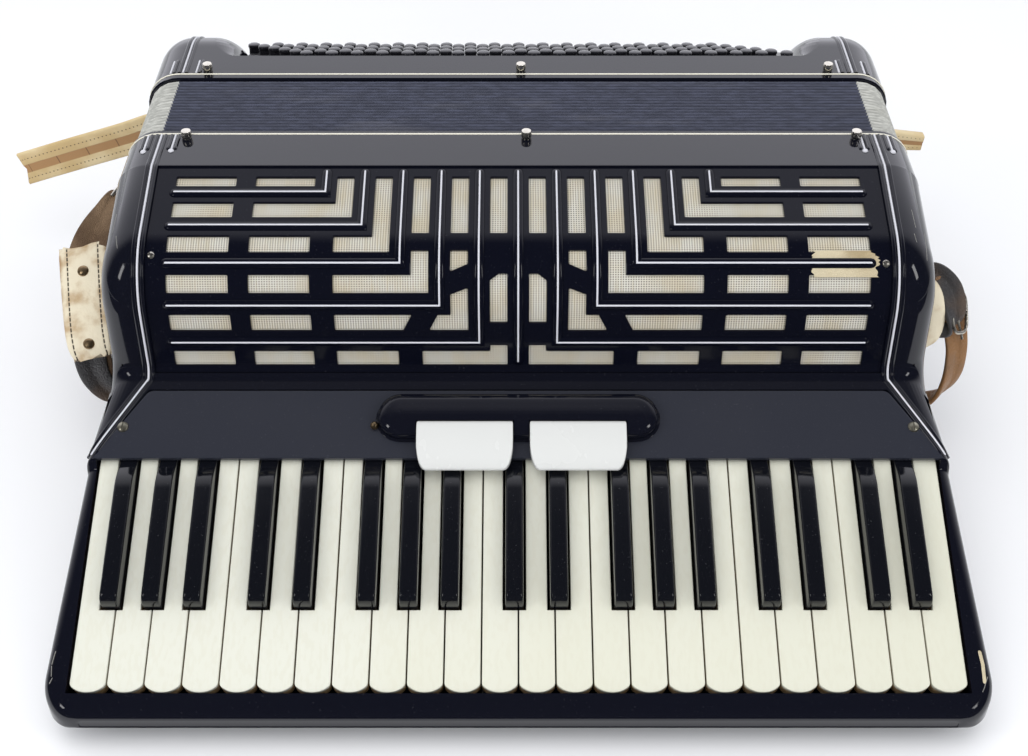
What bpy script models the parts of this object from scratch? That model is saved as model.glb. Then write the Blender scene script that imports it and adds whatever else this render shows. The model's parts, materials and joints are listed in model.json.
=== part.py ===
"""Piano accordion lying on its back: 41 keys, 120 bass buttons, closed bellows.

Metres, +Z up. X runs along the keyboard with the low notes at -X, +Y runs from the
keyboard through the bellows to the bass end, and Z = 0 is the flat back.
"""

import math

import bmesh
import bpy
from mathutils import Matrix, Vector
from mathutils.geometry import delaunay_2d_cdt

# Clearances
GAP = 0.0003  # between pieces that touch
KEY_GAP = 0.0008  # beside each key
MIN_STEP = 0.001  # between two places along a profile
CUT_OUT = 0.02  # how far a cutter reaches out of the piece it cuts

# Body
BODY_DEPTH = 0.195  # from the flat back to the front
BODY_HALF = 0.232  # half of the treble casing's length
BASS_HALF = 0.2335  # half of the bass casing's length
SHOULDER = 0.022  # rounding from the front to the sides
ROUND_START = 0.085  # from the joint to where that rounding starts to get smaller
BACK_EDGE = 0.004
WALL = 0.008
JOINT_Y = 0.060  # where the treble casing ends and its bellows frame starts
CASING_LENGTH = 0.1235  # of the treble casing, from the joint towards the keys

# Front path of the treble casing, from the joint to the key panel
STRIP_LENGTH = 0.0346  # flat strip beside the bellows
SLOPE = math.radians(16)  # first slope of the grille
SLOPE_LENGTH = 0.0488
GRILLE_BEND = 0.044  # radius of the big bend
STEEP = math.radians(84)  # slope after the bend
STEEP_LENGTH = 0.0312
BASE_BEND = 0.010  # radius of the hollow bend above the key panel
BASE_HALF = 0.2393  # half width of the body at the foot of the grille

# Grille
COVER_HALF = 0.2125
COVER_THICK = 0.003
COVER_SUNK = 0.0015  # below the cheeks beside it
COVER_LENGTH = 0.1380
LEDGE = 0.008  # width of the ledge that carries the cover
WINDOW_OVERCUT = 0.004  # how far the window's cut reaches past the wall
STRIP_PITCH = 0.0223  # between the upright strips
ROW_PITCH = 0.024  # between the rows
FIRST_ROW = 0.020  # from the cover's top to the first corner
STRIP_END = 8.92  # where the rows end, in strip pitches
BEAD_HALF = 0.0031
BEAD_CROWN = 0.0014
BEAD_HEIGHT = 0.0014
CENTRE_STRIP_END = 0.131
CLOTH_THICK = 0.0008

# Keyboard
WHITE_KEYS = 24
KEY_PITCH = 0.0198
KEY_TILT = math.radians(21.5)
KEY_REACH = 0.1665  # from the joint to the edge of the key panel
KEY_PLANE = 0.0813  # height of the key tops at that edge
WHITE_LENGTH = 0.133
WHITE_THICK = 0.009
TIP_BULGE = 0.0040
KEY_EDGE = 0.0006  # bevel round a white key's top
NOTCH_GAP = 0.0014  # between a black key's front and the white key's notch
BLACK_LENGTH = 0.0865
BLACK_WIDTH = 0.011
BLACK_HEIGHT = 0.010
BLACK_REAR = 0.0022  # height where it comes out from under the panel
TAIL = 0.034  # key length under the panel
PIVOT_BACK = 0.028
PIVOT_DOWN = 0.0065  # from the key tops to the middle of the axle
AXLE_RADIUS = 0.0015
SOCKET = 0.003  # how far the axle goes into each cheek
KEY_OCTAVE = "FGABCDE"
BLACK_AFTER = {"F": -0.0026, "G": 0.0, "A": 0.0026, "C": -0.0022, "D": 0.0022}

# Keyboard bed
RAIL = 0.0137  # front rail, beyond the key tips
CHEEK_HALF_REAR = 0.2445
CHEEK_HALF_FRONT = 0.2510
PLAN_CORNER = 0.020
CHEEK_ROUND = 0.007
CHEEK_RISE = 0.001  # of the cheeks and the rail over the key tops
RAIL_ROUND = 0.010
BED_BOTTOM = 0.006
UNDER_START = 0.210  # from the joint to where the underside starts to rise
UNDER_SLOPE = math.radians(6.7)
UNDER_ROUND = 0.006  # of the rail's lower edge
BED_FLOOR = 0.0035  # thickness of its floor
BED_BACK_WALL = 0.005
PANEL_RISE = 0.006  # of the panel's top over the key tops
PANEL_THICK = 0.003
PANEL_HALF_REAR = 0.2132
PANEL_HALF_FRONT = 0.2410
PANEL_EDGE_RUN = 0.004  # over which the cheeks fall from the panel's top to beside the keys
BED_EDGE = 0.002  # rounding of the bed's lower edges
KEY_DIP = 0.006  # room under a key's tip

# Register
BAR_LENGTH = 0.160
BAR_WIDTH = 0.027
BAR_HEIGHT = 0.0085
BAR_BACK = 0.0245  # from the panel's edge to the bar's middle
TAB_WIDTH = 0.0545
TAB_CENTRES = (-0.0302, 0.0338)
TAB_BACK = 0.0190
TAB_FRONT = 0.0095  # past the panel's edge
TAB_PIVOT_BACK = 0.0160
TAB_PLAY = 0.0006

# Bellows
FRAME_THICK = 0.005
BASS_FRAME_THICK = 0.006
BELLOWS_LENGTH = 0.063
FRAME_WIDTH = 0.024
FRAME_CORNER = 0.015
FOLDS = 18
FOLD_DEPTH = 0.017
FOLD_WALL = 0.005  # measured along X or Z, so the sheet itself is about half a millimetre
BELLOWS_INSET = 0.0025  # below the frames
BELLOWS_CORNER = 0.012

# Bass casing
BASS_LENGTH = 0.082
ROLL = 0.045  # radius of its rolled front edge
RECESS_START = 0.0232
BOARD_DROP = 0.004  # of the board's top under the front, at the recess's edge
BOARD_SLOPE = math.radians(32.9)
BOARD_THICK = 0.004
BOARD_SHELF = 0.005  # thickness of the casing under the board
SCOOP_WIDTH = 0.020  # how far the humps beside the buttons are rounded off
SCOOP_RUN = 0.034  # over which that rounding grows
SCOOP_SHARE = 0.85  # of the recess's depth that it takes
SCOOP_END = math.radians(80)
SCOOP_LEAD = 0.006  # how far the cut goes on to leave the surface
BUTTON_ROWS = 6
BUTTON_COLUMNS = 20
BUTTON_PITCH = 0.0180
ROW_STEP = 0.0116
ROW_SHIFT = 0.0024  # each row to the side of the one before
BUTTON_RADIUS = 0.0038
BUTTON_HEIGHT = 0.0065
BUTTON_ROOT = 0.003  # how far it goes into the board
BUTTON_DOME = 0.0012  # rounding of its top
BUTTON_SIDES = 8
BUTTON_LEAN = math.radians(15)
BUTTON_MARGIN = 0.0025  # from the end buttons to the recess's sides
AIR_RADIUS = 0.0065
AIR_TRAVEL = 0.004
AIR_STAND = 0.004  # how far it stands out when pressed
AIR_FLANGE = 0.002  # its wider inner end, which keeps it in
AIR_EDGE = 0.0015
AIR_PLACE = (0.198, 0.060)  # X and Z on the bass end

# Straps
HAND_STRAP_WIDTH = 0.026
HAND_STRAP_THICK = 0.0035
HAND_GAP = 0.034  # room for the hand behind the strap

# Reed block
REED_HALF = 0.165
REED_CELLS = 14
REED_HEIGHT = 0.062
REED_DEPTH = 0.040

BASS_Y = JOINT_Y + FRAME_THICK + BELLOWS_LENGTH + BASS_FRAME_THICK
BASS_END_Y = BASS_Y + BASS_LENGTH
KEYS_HALF = WHITE_KEYS * KEY_PITCH / 2
BUTTONS_HALF = (BUTTON_COLUMNS - 1) / 2 * BUTTON_PITCH + (BUTTON_ROWS - 1) / 2 * ROW_SHIFT + BUTTON_RADIUS
RECESS_HALF = BUTTONS_HALF + BUTTON_MARGIN


def clear_scene():
    for obj in list(bpy.data.objects):
        bpy.data.objects.remove(obj, do_unlink=True)


def make_material(name, colour, roughness, metallic=0.0):
    mat = bpy.data.materials.new(name)
    mat.use_nodes = True
    shader = mat.node_tree.nodes["Principled BSDF"]
    shader.inputs["Base Color"].default_value = (*colour, 1.0)
    shader.inputs["Roughness"].default_value = roughness
    shader.inputs["Metallic"].default_value = metallic
    return mat


def make_object(name, bm, mat, origin=(0, 0, 0), parent=None):
    """A mesh object whose points are given from its origin, with its faces turned outwards."""
    bmesh.ops.recalc_face_normals(bm, faces=bm.faces)
    mesh = bpy.data.meshes.new(name)
    bm.to_mesh(mesh)
    bm.free()
    if mat:
        mesh.materials.append(mat)
    obj = bpy.data.objects.new(name, mesh)
    bpy.context.collection.objects.link(obj)
    obj.location = origin
    obj.parent = parent
    return obj


def smooth(obj, angle=35):
    obj.data.shade_smooth()
    obj.data.set_sharp_from_angle(angle=math.radians(angle))


def as_cutter(obj):
    obj.hide_render = True
    obj.display_type = "WIRE"
    return obj


def boolean(obj, other, operation="DIFFERENCE"):
    mod = obj.modifiers.new(operation.title(), "BOOLEAN")
    mod.operation = operation
    mod.solver = "EXACT"
    mod.object = other


def rings_to_mesh(rings, bm=None):
    """A closed solid through rings that all have the same number of points, added to bm if given."""
    bm = bm or bmesh.new()
    loops = [[bm.verts.new(p) for p in ring] for ring in rings]
    count = len(rings[0])
    for near, far in zip(loops, loops[1:]):
        for i in range(count):
            j = (i + 1) % count
            bm.faces.new((near[i], near[j], far[j], far[i]))
    bm.faces.new(list(reversed(loops[0])))
    bm.faces.new(loops[-1])
    return bm


def prism(outline, low, high):
    """A solid whose outline in (Y, Z) runs from X = low to X = high."""
    return rings_to_mesh([[(x, y, z) for y, z in outline] for x in (low, high)])


def back_from_joint(t):
    """The Y of a place that lies t from the joint towards the keys."""
    return JOINT_Y - t


def key_place(s, h):
    """(t, Z) of a place s past the panel's edge and h over the key tops."""
    cos, sin = math.cos(KEY_TILT), math.sin(KEY_TILT)
    return KEY_REACH + s * cos + h * sin, KEY_PLANE - s * sin + h * cos


def front_path(v, lift=0.0):
    """(t, Z) on the grille's path, v along it from the flat strip, lift out from it."""
    t, z, angle = STRIP_LENGTH, BODY_DEPTH, SLOPE
    stretches = (
        (SLOPE_LENGTH, 0.0),
        (GRILLE_BEND * (STEEP - SLOPE), 1 / GRILLE_BEND),
        (STEEP_LENGTH, 0.0),
        (BASE_BEND * (STEEP - KEY_TILT), -1 / BASE_BEND),
        (1.0, 0.0),
    )
    for length, bend in stretches:
        run = min(v, length)
        if bend:
            after = angle + run * bend
            t += (math.sin(after) - math.sin(angle)) / bend
            z += (math.cos(after) - math.cos(angle)) / bend
            angle = after
        else:
            t += run * math.cos(angle)
            z -= run * math.sin(angle)
        v -= run
        if v <= 0:
            break
    return t + lift * math.sin(angle), z + lift * math.cos(angle)


BEND_START = SLOPE_LENGTH
BEND_END = SLOPE_LENGTH + GRILLE_BEND * (STEEP - SLOPE)
BASE_START = BEND_END + STEEP_LENGTH
BASE_END = BASE_START + BASE_BEND * (STEEP - KEY_TILT)


def spread(start, end, steps):
    return [start + (end - start) * i / steps for i in range(steps + 1)]


def path_stations(end, start=0.0, bend_steps=7, base_steps=3):
    """Places along the grille's path from start to end that draw its bends."""
    bends = spread(BEND_START, BEND_END, bend_steps) + spread(BASE_START, BASE_END, base_steps)
    return [start] + [v for v in bends if start + MIN_STEP < v < end - MIN_STEP] + [end]


def path_band(start, end, high, low):
    """Outline in (Y, Z) of a band along the grille's path, between two lifts from it."""
    stations = path_stations(end, start)
    outer = [front_path(v, high) for v in stations]
    inner = [front_path(v, low) for v in stations]
    return [(back_from_joint(t), z) for t, z in outer + inner[::-1]]


def mix(a, b, share):
    return a + (b - a) * max(0.0, min(1.0, share))


def pillow(top, under, ties, steps=5):
    """A solid across X with rounded side edges.

    Its side outline runs along top and back along under. Each point is (Y, Z, half width,
    edge radius, inward Y, inward Z). The end faces fold along ties, pairs of a place in top
    and one in under.
    """
    points = top + under[::-1]
    rings = []
    for side in (-1, 1):
        turns = range(steps, -1, -1) if side < 0 else range(steps + 1)
        for turn in turns:
            angle = math.pi / 2 * turn / steps
            ring = []
            for y, z, half, radius, in_y, in_z in points:
                out = half - radius + radius * math.sin(angle)
                inset = radius * (1 - math.cos(angle))
                ring.append((side * out, y + in_y * inset, z + in_z * inset))
            rings.append(ring)
    bm = rings_to_mesh(rings)
    bm.verts.ensure_lookup_table()
    count = len(points)
    for first in (0, len(bm.verts) - count):
        for i, j in ties:
            a, b = bm.verts[first + i], bm.verts[first + count - 1 - j]
            ends = [face for face in a.link_faces if face in b.link_faces and len(face.verts) > 4]
            bmesh.utils.face_split(ends[0], a, b)
    return bm


def outline_normals(line):
    """Inward directions along an open line of (Y, Z) points that runs over the solid towards -Y."""
    normals = []
    for i in range(len(line)):
        before = Vector(line[max(i - 1, 0)])
        after = Vector(line[min(i + 1, len(line) - 1)])
        along = (after - before).normalized()
        normals.append((-along.y, along.x))
    return normals


def body_half(t):
    """Half width of the treble side, t from the joint."""
    bend_t = front_path(BEND_START)[0]
    panel_t = key_place(0.0, PANEL_RISE)[0]
    if t < CASING_LENGTH:
        return mix(BODY_HALF, BASE_HALF, (t - bend_t) / (CASING_LENGTH - bend_t))
    if t < panel_t:
        return mix(BASE_HALF, CHEEK_HALF_REAR, (t - CASING_LENGTH) / (panel_t - CASING_LENGTH))
    return mix(CHEEK_HALF_REAR, CHEEK_HALF_FRONT, (t - panel_t) / WHITE_LENGTH)


def edge_radius(t):
    """Rounding of the treble side's edges, t from the joint."""
    return mix(SHOULDER, CHEEK_ROUND, (t - ROUND_START) / (KEY_REACH - ROUND_START))


def treble_casing(mat):
    line = [(back_from_joint(0.0), BODY_DEPTH), (back_from_joint(STRIP_LENGTH * 0.5), BODY_DEPTH)]
    last = None
    for v in path_stations(BASE_END):
        t, z = front_path(v)
        last = t
        if t < CASING_LENGTH - MIN_STEP:
            line.append((back_from_joint(t), z))
    end_z = front_path(BASE_END + (CASING_LENGTH - last) / math.cos(KEY_TILT))[1]
    line.append((back_from_joint(CASING_LENGTH), end_z))
    normals = outline_normals(line)
    normals[0] = normals[1] = normals[-1] = (0.0, -1.0)
    top, under = [], []
    for (y, z), (in_y, in_z) in zip(line, normals):
        t = JOINT_Y - y
        top.append((y, z, body_half(t), edge_radius(t), in_y, in_z))
    bend_t = front_path(BEND_START)[0]
    for t in (0.0, bend_t, CASING_LENGTH):
        under.append((back_from_joint(t), 0.0, body_half(t), BACK_EDGE, 0.0, 1.0))
    bend_point = min(range(len(line)), key=lambda i: abs(JOINT_Y - line[i][0] - bend_t))
    bm = pillow(top, under, [(bend_point, 1)])
    casing = make_object("treble_casing", bm, mat)

    rebate = path_band(-GAP, COVER_LENGTH + GAP, CUT_OUT, -COVER_SUNK - COVER_THICK - GAP)
    rebate = make_object("rebate_cutter", prism(rebate, -COVER_HALF - GAP, COVER_HALF + GAP), None)

    wall_t = CASING_LENGTH - WALL
    inner = [(-CUT_OUT, BODY_DEPTH - WALL), (STRIP_LENGTH, BODY_DEPTH - WALL)]
    inner += [front_path(v, -WALL) for v in path_stations(BASE_START)[1:]]
    inner = [(t, z) for t, z in inner if t < wall_t]
    inner += [(wall_t, inner[-1][1] - MIN_STEP), (wall_t, WALL), (-CUT_OUT, WALL)]
    outline = [(back_from_joint(t), z) for t, z in inner]
    hollow = make_object("hollow_cutter", prism(outline, -BODY_HALF + WALL, BODY_HALF - WALL), None)

    window = path_band(LEDGE, COVER_LENGTH - LEDGE, CUT_OUT / 2, -WALL - WINDOW_OVERCUT)
    half = COVER_HALF - LEDGE
    window = make_object("window_cutter", prism(window, -half, half), None)

    for cutter in (rebate, hollow, window):
        boolean(casing, as_cutter(cutter))
    smooth(casing)


def row_place(row):
    """Distance down the cover of a strip's corner, where row 1 is the first."""
    return FIRST_ROW + ROW_PITCH * (row - 1)


def grille_cells():
    """Cell outlines in (strip pitches, distance down the cover), for the +X half."""
    top, inset = 0.0074, 0.0070
    half = 0.22  # of an upright cell, in pitches
    outer, second, third = (7.36, 8.92), (5.30, 6.84), (3.10, 4.70)

    def band(row):
        """Top and bottom of the cells under a row's strip."""
        return row_place(row) + inset, row_place(row + 1) - inset

    def box(left, right, high, low):
        return [(left, high), (right, high), (right, low), (left, low)]

    def corner(column, right, rise, row):
        """An upright arm from rise down to the row's cell, which runs out to right."""
        high, low = band(row)
        left, inside = column - half, column + half
        return [(left, rise), (inside, rise), (inside, high), (right, high), (right, low), (left, low)]

    cells = []
    rows = [(top, FIRST_ROW - 0.0056)] + [band(row) for row in (1, 2, 3, 4, 5)]
    rows[-1] = (rows[-1][0], rows[-1][1] - 0.0015)
    for high, low in rows:
        cells.append(box(*outer, high, low))
    cells.append(box(*second, *rows[0]))
    for high, low in rows[2:]:
        cells.append(box(*second, high, low))
    cells.append(corner(4.5, second[1], top, 1))
    cells.append(corner(3.5, third[1], top, 2))
    cells.append(corner(2.5, third[1], row_place(2) + 0.0167, 3))
    cells.append(box(*third, *rows[5]))

    high, low = rows[4]
    cells.append([(2.72, high), (third[1], high), (third[1], low), (2.95, low)])
    arm = row_place(4) - 0.010
    cells.append([(1.28, arm), (1.72, arm + 0.004), (1.72, high), (2.05, high), (2.28, low), (1.28, low)])
    cells.append([(1.28, 0.0607), (1.72, 0.0607), (1.72, 0.0735), (1.28, 0.0690)])

    high, low = rows[5]
    foot = 2.48
    inner, outer = 0.5 - half, 0.5 + half
    cell = [(inner, high - 0.004), (outer, high - 0.004), (outer, high)]
    cells.append(cell + [(foot, high), (foot, low), (inner, low)])
    cells.append([(inner, 0.0750), (0.5, 0.0750), (outer, 0.0790), (outer, 0.1056), (inner, 0.1056)])
    upright_end = row_place(2) + 0.0046
    for column in (0.5, 1.5, 2.5):
        cells.append(box(column - half, column + half, top, upright_end))
    return cells


def bead_outline(strip, half):
    """Outline in metres of the bead that strip number 1 to 5 lies on, or 0 for the centre."""
    x, start = strip * STRIP_PITCH, 0.004 - half
    if strip == 0:
        end = CENTRE_STRIP_END + half
        return [(-half, start), (half, start), (half, end), (-half, end)]
    corner, end = row_place(6 - strip), STRIP_END * STRIP_PITCH + half
    return [
        (x - half, start),
        (x + half, start),
        (x + half, corner - half),
        (end, corner - half),
        (end, corner + half),
        (x - half, corner + half),
    ]


def mirrored(outlines):
    """The outlines and their mirror images in X, each turning the same way."""
    return outlines + [[(-x, y) for x, y in reversed(line)] for line in outlines]


def flat_sheet(outlines, ends, stations):
    """Triangles of a rectangle with outlines and cross lines drawn into it.

    Gives its points, its triangles, and for each triangle the outlines that hold it.
    """
    half, length = ends
    points = [(-half, 0.0), (half, 0.0), (half, length), (-half, length)]
    edges, faces = [], [[0, 1, 2, 3]]
    for outline in outlines:
        start = len(points)
        points += outline
        faces.append(list(range(start, len(points))))
    for v in stations:
        edges.append((len(points), len(points) + 1))
        points += [(-half, v), (half, v)]
    found = delaunay_2d_cdt([Vector(p) for p in points], edges, faces, 1, 1e-6)
    return found[0], found[2], found[5]


def inside(point, outline):
    """Whether a point lies in a convex or L-shaped outline, its edge included."""
    x, y = point
    hit = False
    for (x0, y0), (x1, y1) in zip(outline, outline[1:] + outline[:1]):
        across = (x1 - x0) * (y - y0) - (y1 - y0) * (x - x0)
        within = min(x0, x1) - 1e-5 <= x <= max(x0, x1) + 1e-5
        within = within and min(y0, y1) - 1e-5 <= y <= max(y0, y1) + 1e-5
        if within and abs(across) < 1e-7:
            return True
        if (y0 > y) != (y1 > y) and x < x0 + (y - y0) * (x1 - x0) / (y1 - y0):
            hit = not hit
    return hit


def grille_cover(mat):
    cells = [[(x * STRIP_PITCH, y) for x, y in cell] for cell in grille_cells()]
    cells = mirrored(cells)
    wide = [bead_outline(i, BEAD_HALF) for i in range(6)]
    crown = [bead_outline(i, BEAD_CROWN) for i in range(6)]
    wide = wide[:1] + mirrored(wide[1:])
    crown = crown[:1] + mirrored(crown[1:])
    stations = [v for v in path_stations(COVER_LENGTH) if 0.001 < v < COVER_LENGTH - 0.001]
    ends = (COVER_HALF, COVER_LENGTH)
    bm = bmesh.new()
    sides = {}
    for level, outlines in (("top", cells + wide + crown), ("bottom", cells)):
        points, triangles, origins = flat_sheet(outlines, ends, stations)
        verts = {}
        for triangle, inside_of in zip(triangles, origins):
            if any(0 < face <= len(cells) for face in inside_of):
                continue
            corners = []
            for index in triangle:
                if index not in verts:
                    x, v = points[index]
                    lift = -COVER_SUNK - (COVER_THICK if level == "bottom" else 0.0)
                    if level == "top" and any(inside((x, v), line) for line in crown):
                        lift += BEAD_HEIGHT
                    t, z = front_path(v, lift)
                    verts[index] = bm.verts.new((x, back_from_joint(t), z))
                corners.append(verts[index])
            bm.faces.new(corners)
        sides[level] = {(round(points[i][0], 6), round(points[i][1], 6)): vert for i, vert in verts.items()}
    pairs = {vert: sides["bottom"].get(place) for place, vert in sides["top"].items()}
    for edge in [e for e in bm.edges if e.is_boundary]:
        a, b = edge.verts
        if pairs.get(a) and pairs.get(b):
            bm.faces.new((a, b, pairs[b], pairs[a]))
    smooth(make_object("grille_cover", bm, mat))


def grille_cloth(mat):
    top = -COVER_SUNK - COVER_THICK - GAP
    outline = path_band(LEDGE + GAP, COVER_LENGTH - LEDGE - GAP, top, top - CLOTH_THICK)
    half = COVER_HALF - LEDGE - GAP
    smooth(make_object("grille_cloth", prism(outline, -half, half), mat))


RAIL_END = WHITE_LENGTH + KEY_GAP + RAIL


def plan_half(share, t):
    """Half width of the keyboard bed, share of the way round its plan corners."""
    return body_half(t) - PLAN_CORNER * (1 - math.sqrt(1 - min(share, 0.99) ** 2))


def rail_top(s):
    """Height of the cheeks and the front rail over the key tops."""
    over = max(0.0, (s - RAIL_END + RAIL_ROUND) / RAIL_ROUND)
    return CHEEK_RISE - RAIL_ROUND * (1 - math.sqrt(max(0.0, 1 - over * over)))


def underside(t):
    """Height of the keyboard bed's underside, which rises towards the rail."""
    return BED_BOTTOM + max(0.0, t - UNDER_START) * math.tan(UNDER_SLOPE)


def keyboard_bed(mat, axle_cutter):
    start = CASING_LENGTH + GAP
    slope_start = KEY_PLANE + PANEL_RISE / math.cos(KEY_TILT)
    start_z = slope_start + (KEY_REACH - start) * math.tan(KEY_TILT)
    corner_s = RAIL_END - PLAN_CORNER / math.cos(KEY_TILT)
    rise = UNDER_START - KEY_REACH
    line = [(0.0, (start, start_z)), (0.0, key_place(0.0, PANEL_RISE))]
    line.append((0.0, key_place(PANEL_EDGE_RUN, CHEEK_RISE)))
    line.append((0.0, key_place(rise / math.cos(KEY_TILT), CHEEK_RISE)))
    for share in (0.0, 0.35, 0.6, 0.8, 0.93, 1.0):
        s = mix(corner_s, RAIL_END, share)
        line.append((share, key_place(s, rail_top(s))))
    end_t = line[-1][1][0]
    top, under, ties = [], [], []
    for i, (share, (t, z)) in enumerate(line):
        half = plan_half(share, t)
        top.append((back_from_joint(t), z, half, edge_radius(t), 0.0, -1.0))
        if i == 2:
            continue
        if 0 < i < len(line) - 1:
            ties.append((i, len(under)))
        over = max(0.0, (t - end_t + UNDER_ROUND) / UNDER_ROUND)
        low = underside(t) + UNDER_ROUND * (1 - math.sqrt(1 - min(over, 1.0) ** 2))
        under.append((back_from_joint(t), low, half, BED_EDGE, 0.0, 1.0))
    bed = make_object("keyboard_bed", pillow(top, under, ties, 4), mat)

    rail_s = WHITE_LENGTH + KEY_GAP
    under_panel = PANEL_RISE - PANEL_THICK
    front_top = key_place(rail_s, CUT_OUT)
    front_t = key_place(rail_s, -WHITE_THICK - KEY_DIP)[0]
    panel_edge, panel_top = key_place(0.0, under_panel), key_place(0.0, CUT_OUT)
    rear = start + BED_BACK_WALL
    rear_z = panel_edge[1] + (panel_edge[0] - rear) * math.tan(KEY_TILT)
    floor = [(t, underside(t) + BED_FLOOR) for t in (front_t, UNDER_START, rear)]
    outline = [front_top, *floor, (rear, rear_z), panel_edge, panel_top]
    outline = [(back_from_joint(t), z) for t, z in outline]
    half = KEYS_HALF + KEY_GAP
    well = make_object("well_cutter", prism(outline, -half, half), None)

    seat = key_frame_solid(panel_outline(GAP), PANEL_RISE - PANEL_THICK - GAP, PANEL_RISE + CUT_OUT)
    seat = make_object("panel_seat_cutter", seat, None)
    for cutter in (as_cutter(well), as_cutter(seat), axle_cutter):
        boolean(bed, cutter)
    smooth(bed)


def key_frame_solid(outline, low, high):
    """A flat solid on the key plane, from an outline in (X, s) between two heights."""
    rings = []
    for h in (low, high):
        ring = []
        for x, s in outline:
            t, z = key_place(s, h)
            ring.append((x, back_from_joint(t), z))
        rings.append(ring)
    return rings_to_mesh(rings)


def panel_outline(grow=0.0):
    """The key panel's outline in (X, s), or a larger one all round."""
    rear = -(KEY_REACH - CASING_LENGTH) / math.cos(KEY_TILT) + BED_BACK_WALL * 0.6
    flare = (PANEL_HALF_FRONT - PANEL_HALF_REAR) / -rear
    aside = grow * math.sqrt(1 + flare * flare)
    left = [(PANEL_HALF_FRONT + s * flare + aside, s) for s in (rear - grow, grow)]
    return [(-left[0][0], left[0][1]), left[0], left[1], (-left[1][0], left[1][1])]


def key_panel(mat):
    bm = key_frame_solid(panel_outline(), PANEL_RISE - PANEL_THICK, PANEL_RISE)
    obj = make_object("key_panel", bm, mat)
    bevel = obj.modifiers.new("Edge", "BEVEL")
    bevel.width = 0.0006
    bevel.segments = 1
    bevel.limit_method = "ANGLE"


def axle_mesh(radius, half):
    rings = []
    t, z = key_place(-PIVOT_BACK, -PIVOT_DOWN)
    for x in (-half, half):
        turn = [math.tau * i / 8 for i in range(8)]
        rings.append([(x, radius * math.cos(a), radius * math.sin(a)) for a in turn])
    return rings_to_mesh(rings), (0, back_from_joint(t), z)


def key_letters():
    return [KEY_OCTAVE[i % 7] for i in range(WHITE_KEYS)]


def black_places():
    """(index of the white key before it, X of its middle) for each black key."""
    letters = key_letters()
    places = []
    for i in range(WHITE_KEYS - 1):
        if letters[i] in BLACK_AFTER:
            places.append((i, (i + 1) * KEY_PITCH - KEYS_HALF + BLACK_AFTER[letters[i]]))
    return places


def key_outline(index, blacks, h):
    """Outline of a white key at height h in (X from its middle, s), from its tail round its tip.

    Its notches lean forward below its top, so that they stand upright on the tilted key.
    """
    middle = (index + 0.5) * KEY_PITCH - KEYS_HALF
    half = (KEY_PITCH - KEY_GAP) / 2
    clear = BLACK_WIDTH / 2 + KEY_GAP
    notch = BLACK_LENGTH + NOTCH_GAP - h * math.tan(KEY_TILT)
    left, right = -half, half
    if index - 1 in blacks:
        left = blacks[index - 1] + clear - middle
    if index in blacks:
        right = blacks[index] - clear - middle
    outline = [(left, -TAIL)]
    if left > -half:
        outline += [(left, notch), (-half, notch)]
    for share in (-1.0, -0.55, 0.0, 0.55, 1.0):
        outline.append((share * half, WHITE_LENGTH - TIP_BULGE * share * share))
    if right < half:
        outline += [(half, notch), (right, notch)]
    outline.append((right, -TAIL))
    return outline


def shrink(outline, amount):
    """The outline moved in by amount, for outlines with no very sharp corners."""
    moved = []
    count = len(outline)
    for i in range(count):
        before, here, after = (Vector(outline[(i + k) % count]) for k in (-1, 0, 1))
        a, b = (here - before).normalized(), (after - here).normalized()
        normal_a, normal_b = Vector((a.y, -a.x)), Vector((b.y, -b.x))
        push = (normal_a + normal_b) / (1 + normal_a.dot(normal_b))
        moved.append(tuple(here + push * amount))
    return moved


def white_key(index, blacks, frame, mat, axle_cutter):
    rings = []
    for inset, h in ((0.0, -WHITE_THICK), (0.0, -KEY_EDGE), (KEY_EDGE, 0.0)):
        line = shrink(key_outline(index, blacks, h), inset)
        rings.append([(x, -(s + PIVOT_BACK), h + PIVOT_DOWN) for x, s in line])
    middle = (index + 0.5) * KEY_PITCH - KEYS_HALF
    key = make_object(f"white_key_{index + 1:02d}", rings_to_mesh(rings), mat, (middle, 0, 0), frame)
    boolean(key, axle_cutter)


def black_key(number, middle, frame, mat, axle_cutter):
    half, top = BLACK_WIDTH / 2, BLACK_WIDTH / 2 - 0.0011
    stations = (
        (-TAIL, BLACK_REAR),
        (-0.001, BLACK_REAR),
        (0.020, BLACK_HEIGHT - 0.0004),
        (BLACK_LENGTH - 0.0045, BLACK_HEIGHT),
    )
    rings = []
    for s, h in stations:
        rings.append(black_section(half, top, s, s, h))
    rings.append(black_section(half, top, BLACK_LENGTH, BLACK_LENGTH - 0.0012, 0.003))
    key = make_object(f"black_key_{number:02d}", rings_to_mesh(rings), mat, (middle, 0, 0), frame)
    boolean(key, axle_cutter)


def black_section(half, top, foot, crown, height):
    """A section across a black key, from its foot up to its crown."""
    section = [(-half, -WHITE_THICK, foot), (half, -WHITE_THICK, foot), (half, height - 0.0014, crown)]
    section += [(top, height, crown), (-top, height, crown), (-half, height - 0.0014, crown)]
    return [(x, -(s + PIVOT_BACK), h + PIVOT_DOWN) for x, h, s in section]


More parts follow.
